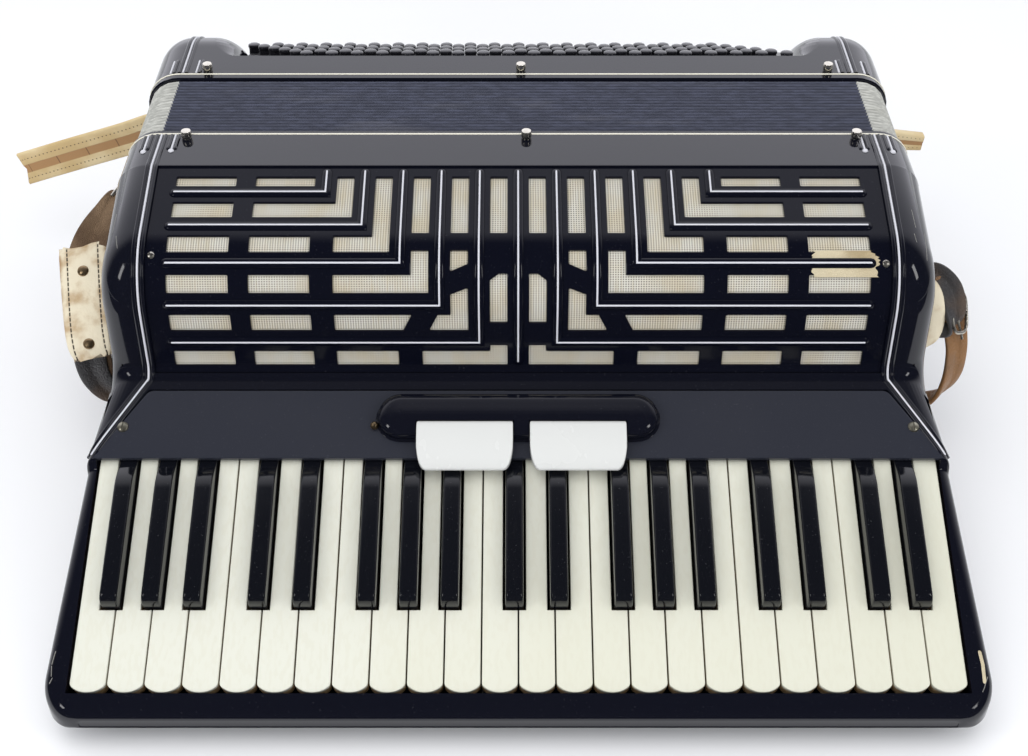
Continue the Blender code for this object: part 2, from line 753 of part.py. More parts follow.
def keyboard(white, black, steel):
    """All the keys, on an empty that lies on the axle and tilts with the key plane."""
    bm, pivot = axle_mesh(AXLE_RADIUS, KEYS_HALF + KEY_GAP + SOCKET - GAP)
    smooth(make_object("key_axle", bm, steel, pivot))
    bm, pivot = axle_mesh(AXLE_RADIUS + GAP, KEYS_HALF + KEY_GAP + SOCKET)
    axle_cutter = as_cutter(make_object("axle_cutter", bm, None, pivot))
    frame = bpy.data.objects.new("keyboard_frame", None)
    bpy.context.collection.objects.link(frame)
    frame.location = pivot
    frame.rotation_euler = (KEY_TILT, 0, 0)
    blacks = dict(black_places())
    for index in range(WHITE_KEYS):
        white_key(index, blacks, frame, white, axle_cutter)
    for number, (_, middle) in enumerate(black_places(), 1):
        black_key(number, middle, frame, black, axle_cutter)
    return axle_cutter


def stadium(length, width, steps=6):
    """Outline with round ends, in (X, Y) about its middle."""
    radius, reach = width / 2, length / 2 - width / 2
    outline = []
    for side in (1, -1):
        for i in range(steps + 1):
            angle = -math.pi / 2 + math.pi * i / steps
            outline.append((side * (reach + radius * math.cos(angle)), side * radius * math.sin(angle)))
    return outline


def register(black, white):
    base = PANEL_RISE + GAP
    rings = []
    for grow, h in ((0.0, base), (0.0, base + 0.005), (-0.002, base + 0.0078), (-0.005, base + BAR_HEIGHT)):
        ring = []
        for x, y in stadium(BAR_LENGTH + 2 * grow, BAR_WIDTH + 2 * grow):
            t, z = key_place(-BAR_BACK - y, h)
            ring.append((x, back_from_joint(t), z))
        rings.append(ring)
    bar = make_object("register_bar", rings_to_mesh(rings), black)
    for number, middle in enumerate(TAB_CENTRES, 1):
        half = TAB_WIDTH / 2 + TAB_PLAY
        outline = [(middle - half, -TAB_BACK - TAB_PLAY), (middle + half, -TAB_BACK - TAB_PLAY)]
        outline += [(middle + half, 0.01), (middle - half, 0.01)]
        notch = key_frame_solid(outline, base + 0.0016, base + 0.03)
        boolean(bar, as_cutter(make_object(f"notch_cutter_{number}", notch, None)))
    smooth(bar)
    for name, middle in zip(("register_tab_left", "register_tab_right"), TAB_CENTRES):
        register_tab(name, middle, base, white)


def register_tab(name, middle, base, mat):
    """A white rocker whose lower corners draw in, with its origin on its pivot."""
    low = base + 0.0016 + TAB_PLAY
    profile = (
        (-TAB_BACK, low + 0.0010, low + 0.0066, 0.0),
        (-TAB_BACK + 0.004, low, low + 0.0079, 0.0),
        (-0.008, low + 0.0003, low + 0.0074, 0.0),
        (0.001, low + 0.0008, low + 0.0060, 0.0005),
        (0.0065, low + 0.0008, low + 0.0044, 0.0020),
        (TAB_FRONT, low + 0.0012, low + 0.0028, 0.0050),
    )
    pivot_t, pivot_z = key_place(-TAB_PIVOT_BACK, low + 0.004)
    pivot = Vector((middle, back_from_joint(pivot_t), pivot_z))
    rings = []
    for s, under, over, draw in profile:
        half = TAB_WIDTH / 2 - draw
        t0, z0 = key_place(s, under)
        t1, z1 = key_place(s, over)
        ring = [(middle - half, back_from_joint(t0), z0), (middle + half, back_from_joint(t0), z0)]
        ring += [(middle + half, back_from_joint(t1), z1), (middle - half, back_from_joint(t1), z1)]
        rings.append([Vector(p) - pivot for p in ring])
    tab = make_object(name, rings_to_mesh(rings), mat, pivot)
    bevel = tab.modifiers.new("Edge", "BEVEL")
    bevel.width = 0.0006
    bevel.segments = 1
    bevel.limit_method = "ANGLE"
    bevel.angle_limit = math.radians(40)
    smooth(tab, 40)


def rounded_rectangle(half, low, high, front_corner, back_corner, steps=3):
    """Outline in (X, Z), from the lower right corner round by the front."""
    corners = (
        (half - back_corner, low + back_corner, back_corner, -90),
        (half - front_corner, high - front_corner, front_corner, 0),
        (-half + front_corner, high - front_corner, front_corner, 90),
        (-half + back_corner, low + back_corner, back_corner, 180),
    )
    outline = []
    for x, z, radius, start in corners:
        for i in range(steps):
            angle = math.radians(start + 90 * i / (steps - 1))
            outline.append((x + radius * math.cos(angle), z + radius * math.sin(angle)))
    return outline


def tube_mesh(outer, inner):
    """A solid with a hole right through, from matching rings of its outside and its inside."""
    bm = bmesh.new()
    rings = outer + inner[::-1]
    loops = [[bm.verts.new(p) for p in ring] for ring in rings]
    count = len(rings[0])
    for near, far in zip(loops, loops[1:] + loops[:1]):
        for i in range(count):
            j = (i + 1) % count
            bm.faces.new((near[i], near[j], far[j], far[i]))
    return bm


def bellows_frame(name, start, thick, half, mat):
    outer = rounded_rectangle(half, 0.0, BODY_DEPTH, FRAME_CORNER, BACK_EDGE, 4)
    inner = rounded_rectangle(half - FRAME_WIDTH, FRAME_WIDTH, BODY_DEPTH - FRAME_WIDTH, 0.006, 0.006, 4)
    rings = [[[(x, y, z) for x, z in line] for y in (start, start + thick)] for line in (outer, inner)]
    smooth(make_object(name, tube_mesh(*rings), mat))


def bellows(mat):
    start = JOINT_Y + FRAME_THICK + GAP
    length = BELLOWS_LENGTH - 2 * GAP
    half, low, high = BODY_HALF - BELLOWS_INSET, BELLOWS_INSET + 0.0005, BODY_DEPTH - BELLOWS_INSET

    def ring(inset, y):
        line = rounded_rectangle(half - inset, low + inset, high - inset, BELLOWS_CORNER, 0.006)
        return [(x, y, z) for x, z in line]

    outer, inner = [], []
    for i in range(2 * FOLDS + 1):
        y = start + length * i / (2 * FOLDS)
        inset = FOLD_DEPTH if i % 2 == 0 else 0.0
        if i in (0, 2 * FOLDS):
            inset = FOLD_DEPTH * 0.5
        outer.append(ring(inset, y))
        inner.append(ring(inset + FOLD_WALL, y))
    make_object("bellows", tube_mesh(outer, inner), mat)


def bass_place(b, z):
    """(Y, Z) of a place b into the bass casing."""
    return BASS_Y + GAP + b, z


def board_line(b, drop=0.0):
    """Height of the button board's top at b, or drop under it."""
    top = BODY_DEPTH - BOARD_DROP - (b - RECESS_START) * math.tan(BOARD_SLOPE)
    return top - drop / math.cos(BOARD_SLOPE)


def bass_top(b):
    """Height of the bass casing's front, which rolls over towards its end."""
    over = min(max(0.0, b - (BASS_LENGTH - GAP - ROLL)), ROLL)
    return BODY_DEPTH - ROLL + math.sqrt(ROLL * ROLL - over * over)


def scoop_section(b, steps=4):
    """Outline in (X, Z) of what is cut from the hump beside the buttons, b into the casing.

    It rounds the hump off: upright beside the board and nearly level at its far edge.
    """
    share = min(max(0.0, (b - RECESS_START) / SCOOP_RUN), 1.0)
    wide = max(MIN_STEP, SCOOP_WIDTH * math.sqrt(1 - (1 - share) ** 2))
    top = bass_top(b)
    board = min(board_line(b), top - MIN_STEP)
    high = (top - board) * SCOOP_SHARE
    inner = RECESS_HALF - MIN_STEP
    section = [(inner, top + CUT_OUT), (inner, board)]
    for angle in spread(0.0, SCOOP_END, steps):
        section.append((RECESS_HALF + wide * (1 - math.cos(angle)), top - high * (1 - math.sin(angle))))
    section.append((section[-1][0] + SCOOP_LEAD, top + MIN_STEP))
    section.append((section[-1][0], top + CUT_OUT))
    return section


def bass_casing(mat):
    length = BASS_LENGTH - GAP
    points = [(0.0, BODY_DEPTH, 0.0, -1.0), ((length - ROLL) * 0.5, BODY_DEPTH, 0.0, -1.0)]
    for angle in spread(0.0, math.pi / 2, 6):
        b = length - ROLL + ROLL * math.sin(angle)
        z = BODY_DEPTH - ROLL + ROLL * math.cos(angle)
        points.append((b, z, -math.sin(angle), -math.cos(angle)))
    points.append((length, SHOULDER, -1.0, 0.0))
    top, under = [], []
    for b, z, in_y, in_z in points:
        top.append((*bass_place(b, z), BASS_HALF, SHOULDER, in_y, in_z))
    for b in (0.0, length - BACK_EDGE):
        under.append((*bass_place(b, 0.0), BASS_HALF, BACK_EDGE, 0.0, 1.0))
    casing = make_object("bass_casing", pillow(top, under, []), mat)

    out = length + CUT_OUT
    start = RECESS_START
    drop = BOARD_THICK + GAP
    recess = [(start, board_line(start, drop)), (start, BODY_DEPTH + CUT_OUT)]
    recess += [(out, BODY_DEPTH + CUT_OUT), (out, board_line(out, drop))]
    outline = [bass_place(b, z) for b, z in recess]
    recess = make_object("recess_cutter", prism(outline, -RECESS_HALF, RECESS_HALF), None)
    scoops = []
    for side in (-1, 1):
        rings = []
        for share in (0.0, 0.02, 0.08, 0.2, 0.4, 0.7, 1.0):
            b = mix(start, start + SCOOP_RUN, share)
            rings.append([(side * x, *bass_place(b, z)) for x, z in scoop_section(b)])
        for b in (length - ROLL * 0.2, out):
            rings.append([(side * x, *bass_place(b, z)) for x, z in scoop_section(b)])
        scoops.append(make_object(f"scoop_cutter_{len(scoops) + 1}", rings_to_mesh(rings), None))

    wall_b = length - WALL
    deep = drop + BOARD_SHELF
    hollow = [(-CUT_OUT, WALL), (wall_b, WALL), (wall_b, board_line(wall_b, deep))]
    hollow += [(start, board_line(start, deep)), (-CUT_OUT, board_line(start, deep))]
    outline = [bass_place(b, z) for b, z in hollow]
    half = BASS_HALF - WALL
    hollow = make_object("bass_hollow_cutter", prism(outline, -half, half), None)

    bore = round_bar(AIR_RADIUS + GAP, wall_b - MIN_STEP, length + MIN_STEP, 12)
    bore = make_object("air_bore_cutter", bore, None)
    for cutter in (recess, *scoops, hollow, bore):
        boolean(casing, as_cutter(cutter))
    smooth(casing)


def round_bar(radius, start, end, sides):
    """A round solid along Y at the air button's place, from b = start to b = end."""
    x, z = AIR_PLACE
    rings = []
    for b in (start, end):
        y = bass_place(b, 0.0)[0]
        turn = [math.tau * i / sides for i in range(sides)]
        rings.append([(x + radius * math.cos(a), y, z + radius * math.sin(a)) for a in turn])
    return rings_to_mesh(rings)


def air_button(mat):
    """A round push button through the bass end, with its origin on its own axis."""
    x, z = AIR_PLACE
    y = BASS_END_Y
    inner, height = -WALL - GAP, AIR_TRAVEL + AIR_STAND
    profile = (
        (AIR_RADIUS + AIR_FLANGE, inner - AIR_FLANGE),
        (AIR_RADIUS + AIR_FLANGE, inner),
        (AIR_RADIUS, inner),
        (AIR_RADIUS, height - AIR_EDGE),
        (AIR_RADIUS - AIR_EDGE, height),
    )
    rings = []
    for radius, out in profile:
        turn = [math.tau * i / 12 for i in range(12)]
        rings.append([(radius * math.cos(a), out, radius * math.sin(a)) for a in turn])
    smooth(make_object("air_button", rings_to_mesh(rings), mat, (x, y, z)))


def button_board(mat):
    length = BASS_LENGTH - GAP
    start, end = RECESS_START + GAP, length - 0.001
    outline = [(start, board_line(start)), (start, board_line(start, BOARD_THICK))]
    outline += [(end, board_line(end, BOARD_THICK)), (end, board_line(end))]
    outline = [bass_place(b, z) for b, z in outline]
    board = make_object("bass_button_board", prism(outline, -RECESS_HALF + GAP, RECESS_HALF - GAP), mat)
    bm = bmesh.new()
    along = Vector((0, math.cos(BOARD_SLOPE), -math.sin(BOARD_SLOPE)))
    lean = Vector((0, math.sin(BUTTON_LEAN), math.cos(BUTTON_LEAN)))
    side = Vector((1, 0, 0))
    across = lean.cross(side)
    profile = (
        (BUTTON_RADIUS, -BUTTON_ROOT),
        (BUTTON_RADIUS, BUTTON_HEIGHT - BUTTON_DOME),
        (BUTTON_RADIUS - BUTTON_DOME, BUTTON_HEIGHT),
    )
    first_y, first_z = bass_place(start, board_line(start))
    margin = ((end - start) / math.cos(BOARD_SLOPE) - ROW_STEP * (BUTTON_ROWS - 1)) / 2
    for row in range(BUTTON_ROWS):
        for column in range(BUTTON_COLUMNS):
            x = (column - (BUTTON_COLUMNS - 1) / 2) * BUTTON_PITCH
            x += ((BUTTON_ROWS - 1) / 2 - row) * ROW_SHIFT
            foot = Vector((x, first_y, first_z)) + along * (margin + row * ROW_STEP)
            rings = []
            for radius, rise in profile:
                turn = [math.tau * i / BUTTON_SIDES for i in range(BUTTON_SIDES)]
                ring = [side * (radius * math.cos(a)) + across * (radius * math.sin(a)) for a in turn]
                rings.append([foot + lean * rise + place for place in ring])
            rings_to_mesh(rings, bm)
    buttons = as_cutter(make_object("buttons_to_join", bm, None))
    boolean(board, buttons, "UNION")
    smooth(board)


def curve_through(points, steps):
    """A smooth line through the points, with steps between each two."""
    line = []
    last = len(points) - 1
    for i in range(last):
        p0, p1 = Vector(points[max(i - 1, 0)]), Vector(points[i])
        p2, p3 = Vector(points[i + 1]), Vector(points[min(i + 2, last)])
        for k in range(steps):
            u = k / steps
            line.append(
                0.5 * (2 * p1 + (p2 - p0) * u + (2 * p0 - 5 * p1 + 4 * p2 - p3) * u * u
                + (3 * p1 - p0 - 3 * p2 + p3) * u * u * u)
            )
    line.append(Vector(points[-1]))
    return line


def ribbon(stations, across, steps=3):
    """A flat band whose stations are (X, Y, Z, width, thickness), with its width along across."""
    line = curve_through(stations, steps)
    rings = []
    for i, here in enumerate(line):
        before, after = line[max(i - 1, 0)], line[min(i + 1, len(line) - 1)]
        along = (Vector(after[:3]) - Vector(before[:3])).normalized()
        side = (Vector(across) - along * along.dot(Vector(across))).normalized()
        face = along.cross(side)
        middle, half, thick = Vector(here[:3]), here[3] / 2, here[4] / 2
        edge = min(half, thick) * 0.6
        corners = (
            (-half, -thick + edge),
            (-half + edge, -thick),
            (half - edge, -thick),
            (half, -thick + edge),
            (half, thick - edge),
            (half - edge, thick),
            (-half + edge, thick),
            (-half, thick - edge),
        )
        rings.append([middle + side * a + face * b for a, b in corners])
    return rings_to_mesh(rings)


def hand_strap(mat):
    """The strap across the bass end, bowed out for the hand, with its two free ends."""
    face = BASS_END_Y + GAP + HAND_STRAP_THICK / 2
    bow = BASS_END_Y + HAND_GAP + HAND_STRAP_THICK / 2
    route = (
        (0.293, face + 0.006, 0.088),
        (0.255, face + 0.002, 0.094),
        (0.212, face, 0.099),
        (0.130, mix(face, bow, 0.80), 0.103),
        (0.0, bow, 0.106),
        (-0.130, mix(face, bow, 0.80), 0.110),
        (-0.212, face, 0.114),
        (-0.255, face + 0.002, 0.112),
        (-0.305, face + 0.005, 0.100),
        (-0.345, face + 0.006, 0.086),
        (-0.372, face + 0.006, 0.075),
    )
    stations = [(*place, HAND_STRAP_WIDTH, HAND_STRAP_THICK) for place in route]
    smooth(make_object("bass_strap", ribbon(stations, (0, 0, 1)), mat), 50)


def shoulder_straps(mat):
    """Short looped strap ends on both sides of the treble casing."""
    wall = BODY_HALF
    for name, side in (("left_shoulder_strap", -1), ("right_shoulder_strap", 1)):
        route = (
            (wall + 0.0055, 0.004, 0.151, 0.008, 0.003),
            (wall + 0.017, 0.018, 0.139, 0.018, 0.0035),
            (wall + 0.032, 0.032, 0.124, 0.028, 0.008),
            (wall + 0.036, 0.050, 0.104, 0.029, 0.011),
            (wall + 0.034, 0.067, 0.084, 0.027, 0.008),
            (wall + 0.026, 0.080, 0.062, 0.022, 0.0035),
            (wall + 0.0130, 0.084, 0.045, 0.016, 0.003),
        )
        stations = [(side * x, back_from_joint(t), z, width, thick) for x, t, z, width, thick in route]
        smooth(make_object(name, ribbon(stations, (1, 0, 0)), mat), 50)


def reed_block(mat):
    """A block with cells down one side, standing in the casing's hollow."""
    low, high = WALL + GAP, WALL + GAP + REED_HEIGHT
    pitch = 2 * REED_HALF / REED_CELLS
    outline = [(-REED_HALF, 0.0)]
    for i in range(REED_CELLS):
        start = -REED_HALF + pitch * i
        outline += [(start + pitch * 0.2, 0.0), (start + pitch * 0.2, REED_DEPTH * 0.4)]
        outline += [(start + pitch * 0.8, REED_DEPTH * 0.4), (start + pitch * 0.8, 0.0)]
    outline += [(REED_HALF, 0.0), (REED_HALF, REED_DEPTH), (-REED_HALF, REED_DEPTH)]
    rings = [[(x, back_from_joint(0.030 + t), z) for x, t in outline] for z in (low, high)]
    make_object("treble_reed_block", rings_to_mesh(rings), mat)


def build():
    clear_scene()
    gloss_black = make_material("gloss_black", (0.010, 0.011, 0.016), 0.12)
    satin_black = make_material("satin_black", (0.020, 0.021, 0.026), 0.35)
    ivory = make_material("ivory", (0.80, 0.77, 0.66), 0.25)
    white = make_material("white", (0.85, 0.86, 0.86), 0.30)
    cloth = make_material("grille_cloth", (0.62, 0.57, 0.45), 0.85)
    bellows_cloth = make_material("bellows_cloth", (0.018, 0.020, 0.032), 0.70)
    leather = make_material("leather", (0.48, 0.33, 0.18), 0.65)
    brown = make_material("brown_leather", (0.20, 0.11, 0.06), 0.60)
    steel = make_material("steel", (0.60, 0.60, 0.60), 0.30, 1.0)
    wood = make_material("wood", (0.55, 0.38, 0.20), 0.60)

    treble_casing(gloss_black)
    grille_cover(gloss_black)
    grille_cloth(cloth)
    axle_cutter = keyboard(ivory, gloss_black, steel)
    keyboard_bed(gloss_black, axle_cutter)
    key_panel(satin_black)
    register(gloss_black, white)
    bellows_frame("treble_bellows_frame", JOINT_Y + GAP, FRAME_THICK - GAP, BODY_HALF, gloss_black)
    bass_frame_y = JOINT_Y + FRAME_THICK + BELLOWS_LENGTH
    bellows_frame("bass_bellows_frame", bass_frame_y, BASS_FRAME_THICK, BODY_HALF, gloss_black)
    bellows(bellows_cloth)
    bass_casing(gloss_black)
    button_board(satin_black)
    air_button(satin_black)
    hand_strap(leather)
    shoulder_straps(brown)
    reed_block(wood)


build()
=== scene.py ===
"""Looks of a piano accordion that lies on its back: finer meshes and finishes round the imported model."""
import json
import math
import random

import bmesh
import bpy
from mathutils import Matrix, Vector
from mathutils.bvhtree import BVHTree
from mathutils.geometry import delaunay_2d_cdt

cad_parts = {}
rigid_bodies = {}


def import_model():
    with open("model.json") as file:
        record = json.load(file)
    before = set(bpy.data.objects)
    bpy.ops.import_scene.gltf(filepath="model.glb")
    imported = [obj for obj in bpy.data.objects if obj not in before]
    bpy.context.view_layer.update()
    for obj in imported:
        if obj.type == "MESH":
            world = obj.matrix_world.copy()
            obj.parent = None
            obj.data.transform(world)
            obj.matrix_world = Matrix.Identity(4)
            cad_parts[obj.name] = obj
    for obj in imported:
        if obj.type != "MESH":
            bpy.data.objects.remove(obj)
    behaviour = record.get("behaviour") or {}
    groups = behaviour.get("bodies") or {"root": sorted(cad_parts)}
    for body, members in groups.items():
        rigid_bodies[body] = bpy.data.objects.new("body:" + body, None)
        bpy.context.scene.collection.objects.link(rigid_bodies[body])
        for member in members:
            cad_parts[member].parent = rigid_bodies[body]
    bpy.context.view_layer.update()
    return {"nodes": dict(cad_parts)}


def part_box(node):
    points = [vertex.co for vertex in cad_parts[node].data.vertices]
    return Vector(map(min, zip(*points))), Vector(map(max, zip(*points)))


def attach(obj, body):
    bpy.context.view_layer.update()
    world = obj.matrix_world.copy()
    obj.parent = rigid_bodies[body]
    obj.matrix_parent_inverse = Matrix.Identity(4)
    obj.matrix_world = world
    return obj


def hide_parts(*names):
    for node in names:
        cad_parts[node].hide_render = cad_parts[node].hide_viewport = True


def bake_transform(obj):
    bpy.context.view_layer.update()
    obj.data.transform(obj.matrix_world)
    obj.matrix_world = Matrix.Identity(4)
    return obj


for leftover in list(bpy.data.objects):
    bpy.data.objects.remove(leftover)
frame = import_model()
nodes = frame["nodes"]

# Sizes in metres, from the frame where a node gives them, with angles and counts beside them
GAP = 0.0003
CUT_OUT = 0.02
JOINT_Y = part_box("treble_casing")[1][1]
BODY_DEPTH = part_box("treble_casing")[1][2]
BODY_HALF = 0.2385
BASS_HALF = 0.2385
SHOULDER = 0.022
ROUND_START = 0.085
BACK_EDGE = 0.004
WALL = 0.008
CASING_LENGTH = 0.1235
STRIP_LENGTH = 0.0346
SLOPE = math.radians(16)
SLOPE_LENGTH = 0.0488
GRILLE_BEND = 0.044
STEEP = math.radians(84)
STEEP_LENGTH = 0.0312
BASE_BEND = 0.010
BASE_HALF = 0.2393
COVER_HALF = 0.2125
COVER_THICK = 0.0013
COVER_SUNK = 0.0015
COVER_LENGTH = 0.1380
COVER_CORNERS = ((-COVER_HALF, 0.0), (COVER_HALF, 0.0), (COVER_HALF, COVER_LENGTH), (-COVER_HALF, COVER_LENGTH))
CELL_RIM = 0.0005
LEDGE = 0.0035
STRIP_PITCH = 0.0223
ROW_PITCH = 0.0246
FIRST_ROW = 0.0196
STRIP_END = 8.92
CENTRE_STRIP_END = 0.131
BEAD_HALF = 0.0031
BEAD_HEIGHT = 0.0016
WHITE_KEYS = 24
KEY_PITCH = 0.0198
KEY_GAP = 0.0008
KEY_TILT = math.radians(21.5)
KEY_REACH = 0.1665
KEY_PLANE = 0.0813
WHITE_LENGTH = 0.133
WHITE_THICK = 0.009
TIP_BULGE = 0.0040
BLACK_LENGTH = 0.0865
NOTCH_GAP = 0.0010
BLACK_WIDTH = 0.011
BLACK_HEIGHT = 0.010
BLACK_REAR = 0.0022
TAIL = 0.034
KEY_OCTAVE = "FGABCDE"
BLACK_AFTER = {"F": -0.0026, "G": 0.0, "A": 0.0026, "C": -0.0022, "D": 0.0022}
RAIL = 0.0137
CHEEK_HALF_REAR = 0.2445
CHEEK_HALF_FRONT = 0.2528
PLAN_CORNER = 0.024
CHEEK_ROUND = 0.007
CHEEK_RISE = 0.001
RAIL_ROUND = 0.006
BED_BOTTOM = 0.006
UNDER_START = 0.210
UNDER_SLOPE = math.radians(6.7)
UNDER_ROUND = 0.0015
BED_FLOOR = 0.0035
BED_BACK_WALL = 0.005
PANEL_RISE = 0.006
PANEL_THICK = 0.003
PANEL_HALF_REAR = 0.2132
PANEL_HALF_FRONT = 0.2410
BAR_LENGTH = 0.160
BAR_WIDTH = 0.027
BAR_BACK = 0.0245
TAB_WIDTH = 0.0545
TAB_CENTRES = (-0.0302, 0.0338)
TAB_BACK = 0.0190
TAB_FRONT = 0.0095
BASS_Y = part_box("bass_casing")[0][1]
BASS_END_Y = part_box("bass_casing")[1][1]
BASS_LENGTH = BASS_END_Y - BASS_Y
ROLL = 0.045
RECESS_START = 0.0232
BOARD_DROP = 0.004
BOARD_SLOPE = math.radians(32.9)
BOARD_THICK = 0.004
BUTTON_ROWS = 6
BUTTON_COLUMNS = 20
BUTTON_PITCH = 0.01655
ROW_STEP = 0.0098
ROW_SHIFT = 0.0086
BUTTON_RADIUS = 0.0041
BUTTON_HEIGHT = 0.0065
BUTTON_LEAN = math.radians(9)
FIRST_BUTTONS = 0.027
PLATE_HIGH = 0.1892
PLATE_FALL = 0.4183
RECESS_HALF = 0.1833
SCOOP_WIDTH = 0.020
SCOOP_RUN = 0.034
SCOOP_SHARE = 0.85
STRIPE_X = 0.2145
STRIPE_START = 0.0006
SHORT_STRIPES = (-0.0085, 0.0080)
FRAME_WIDTH = 0.024
FOLDS = 18
FOLD_DEPTH = 0.017
BELLOWS_BAND_X = 0.2157
KEYS_HALF = WHITE_KEYS * KEY_PITCH / 2
RAIL_END = WHITE_LENGTH + KEY_GAP + RAIL


# Finishes

class Finish:
    """A material built from nodes round one Principled shader."""

    def __init__(self, name, colour, rough, metal=0.0, **extra):
        self.mat = bpy.data.materials.new(name)
        self.mat.use_nodes = True
        self.tree = self.mat.node_tree
        self.bsdf = self.tree.nodes["Principled BSDF"]
        self.set(self.bsdf, "Base Color", colour)
        self.set(self.bsdf, "Roughness", rough)
        self.set(self.bsdf, "Metallic", metal)
        for socket, value in extra.items():
            self.set(self.bsdf, socket.replace("_", " "), value)
        self.mat.diffuse_color = (*colour, 1.0)

    def set(self, node, socket, value):
        if isinstance(value, bpy.types.NodeSocket):
            self.tree.links.new(value, node.inputs[socket])
        elif isinstance(value, tuple) and len(value) == 3 and node.inputs[socket].type == "RGBA":
            node.inputs[socket].default_value = (*value, 1.0)
        else:
            node.inputs[socket].default_value = value

    def node(self, kind, props=(), **inputs):
        node = self.tree.nodes.new("ShaderNode" + kind)
        for key, value in dict(props).items():
            setattr(node, key, value)
        for socket, value in inputs.items():
            key = int(socket[1:]) if socket[0] == "i" and socket[1:].isdigit() else socket.replace("_", " ")
            self.set(node, key, value)
        return node

    def place(self, scale=(1.0, 1.0, 1.0), uv=False):
        coord = self.node("TexCoord")
        source = coord.outputs["UV" if uv else "Object"]
        return self.node("Mapping", i0=source, Scale=scale).outputs[0]

    def uv(self):
        return self.node("SeparateXYZ", Vector=self.node("TexCoord").outputs["UV"]).outputs

    def wave(self, value):
        return self.math("ABSOLUTE", self.math("SINE", value))

    def stitch_row(self, across, place):
        """A thin line at a distance from the middle of a strap."""
        return self.ramp(self.math("ABSOLUTE", self.math("SUBTRACT", across, place)), 0.0003, 0.0006, 1.0, 0.0)

    def noise(self, scale, detail=3.0, stretch=(1.0, 1.0, 1.0), uv=False, rough=0.5):
        vector = self.place(stretch, uv)
        return self.node("TexNoise", Vector=vector, Scale=scale, Detail=detail, Roughness=rough).outputs[0]

    def ramp(self, value, low, high, out_low=0.0, out_high=1.0):
        limits = {"From_Min": low, "From_Max": high, "To_Min": out_low, "To_Max": out_high}
        return self.node("MapRange", {"interpolation_type": "SMOOTHSTEP"}, Value=value, **limits).outputs[0]

    def mix(self, share, a, b):
        return self.node("Mix", {"data_type": "RGBA"}, i0=share, i6=a, i7=b).outputs[2]

    def math(self, operation, a, b=0.0, c=0.0):
        return self.node("Math", {"operation": operation}, i0=a, i1=b, i2=c).outputs[0]

    def bump(self, height, strength, distance):
        node = self.node("Bump", Height=height, Strength=strength, Distance=distance)
        self.tree.links.new(node.outputs[0], self.bsdf.inputs["Normal"])

    def base(self, value):
        self.set(self.bsdf, "Base Color", value)

    def rough(self, value):
        self.set(self.bsdf, "Roughness", value)


def gloss(name, colour, low=0.06, high=0.14, dust=0.10, level=0.5):
    """Polished celluloid with a faint haze, fine scratches and specks of dust."""
    f = Finish(name, colour, low, Specular_IOR_Level=level)
    haze = f.noise(14.0, 4.0)
    scratch = f.noise(240.0, 2.0, (1.0, 0.05, 1.0))
    blur = f.ramp(haze, 0.3, 0.75, low, high)
    f.rough(f.math("ADD", blur, f.ramp(scratch, 0.62, 0.75, 0.0, 0.06)))
    specks = f.ramp(f.noise(900.0, 1.0), 0.70, 0.76, 0.0, dust)
    pale = tuple(min(1.0, c * 3 + 0.10) for c in colour)
    f.base(f.mix(specks, colour, pale))
    f.bump(f.noise(9.0, 2.0), 0.05, 0.004)
    return f.mat


def ivory_finish():
    f = Finish("ivory_celluloid", (0.85, 0.85, 0.75), 0.2)
    cloud = f.noise(6.0, 3.0, (1.0, 0.3, 1.0))
    grain = f.noise(420.0, 2.0, (1.0, 0.02, 1.0))
    tint = f.mix(f.ramp(cloud, 0.35, 0.7), (0.675, 0.675, 0.595), (0.64, 0.635, 0.53))
    f.base(f.mix(f.ramp(grain, 0.45, 0.62, 0.0, 0.22), tint, (0.60, 0.58, 0.47)))
    f.rough(f.ramp(cloud, 0.3, 0.7, 0.16, 0.26))
    f.bump(f.noise(60.0, 2.0, (1.0, 0.1, 1.0)), 0.03, 0.002)
    return f.mat


def metal_finish(name, colour, low, high, spots=(0.2, 0.18, 0.15), amount=0.3):
    f = Finish(name, colour, low, 1.0)
    worn = f.noise(300.0, 4.0)
    f.rough(f.ramp(worn, 0.35, 0.7, low, high))
    f.base(f.mix(f.ramp(f.noise(700.0, 3.0), 0.58, 0.75, 0.0, amount), colour, spots))
    f.bump(worn, 0.1, 0.0004)
    return f.mat


def cloth_finish():
    """Open woven cloth: threads both ways, with painted shade in the small dark holes between them."""
    f = Finish("speaker_cloth", (0.62, 0.57, 0.45), 0.9)
    f.set(f.bsdf, "Sheen Weight", 0.15)
    weave, uv = 0.00145, f.uv()
    waves = [f.wave(f.math("MULTIPLY", uv[axis], math.pi / weave)) for axis in (0, 1)]
    thread = f.math("MAXIMUM", waves[0], waves[1])
    # Painted shade: the holes between the threads are painted near-black, as the shade behind the cloth
    painted_hole_shade = f.math("MULTIPLY", f.ramp(waves[0], 0.56, 0.93, 1.0, 0.0), f.ramp(waves[1], 0.54, 0.92, 1.0, 0.0))
    cloud = f.noise(40.0, 4.0, uv=True)
    colour = f.mix(f.ramp(cloud, 0.35, 0.7), (0.60, 0.58, 0.52), (0.56, 0.50, 0.385))
    colour = f.mix(f.math("MULTIPLY", painted_hole_shade, 0.95), colour, (0.05, 0.042, 0.03))
    warp = f.noise(900.0, 2.0, (1.0, 0.03, 1.0), uv=True)
    f.base(f.mix(f.ramp(warp, 0.5, 0.65, 0.0, 0.35), colour, (0.40, 0.34, 0.22)))
    f.bump(thread, 0.5, 0.0003)
    return f.mat


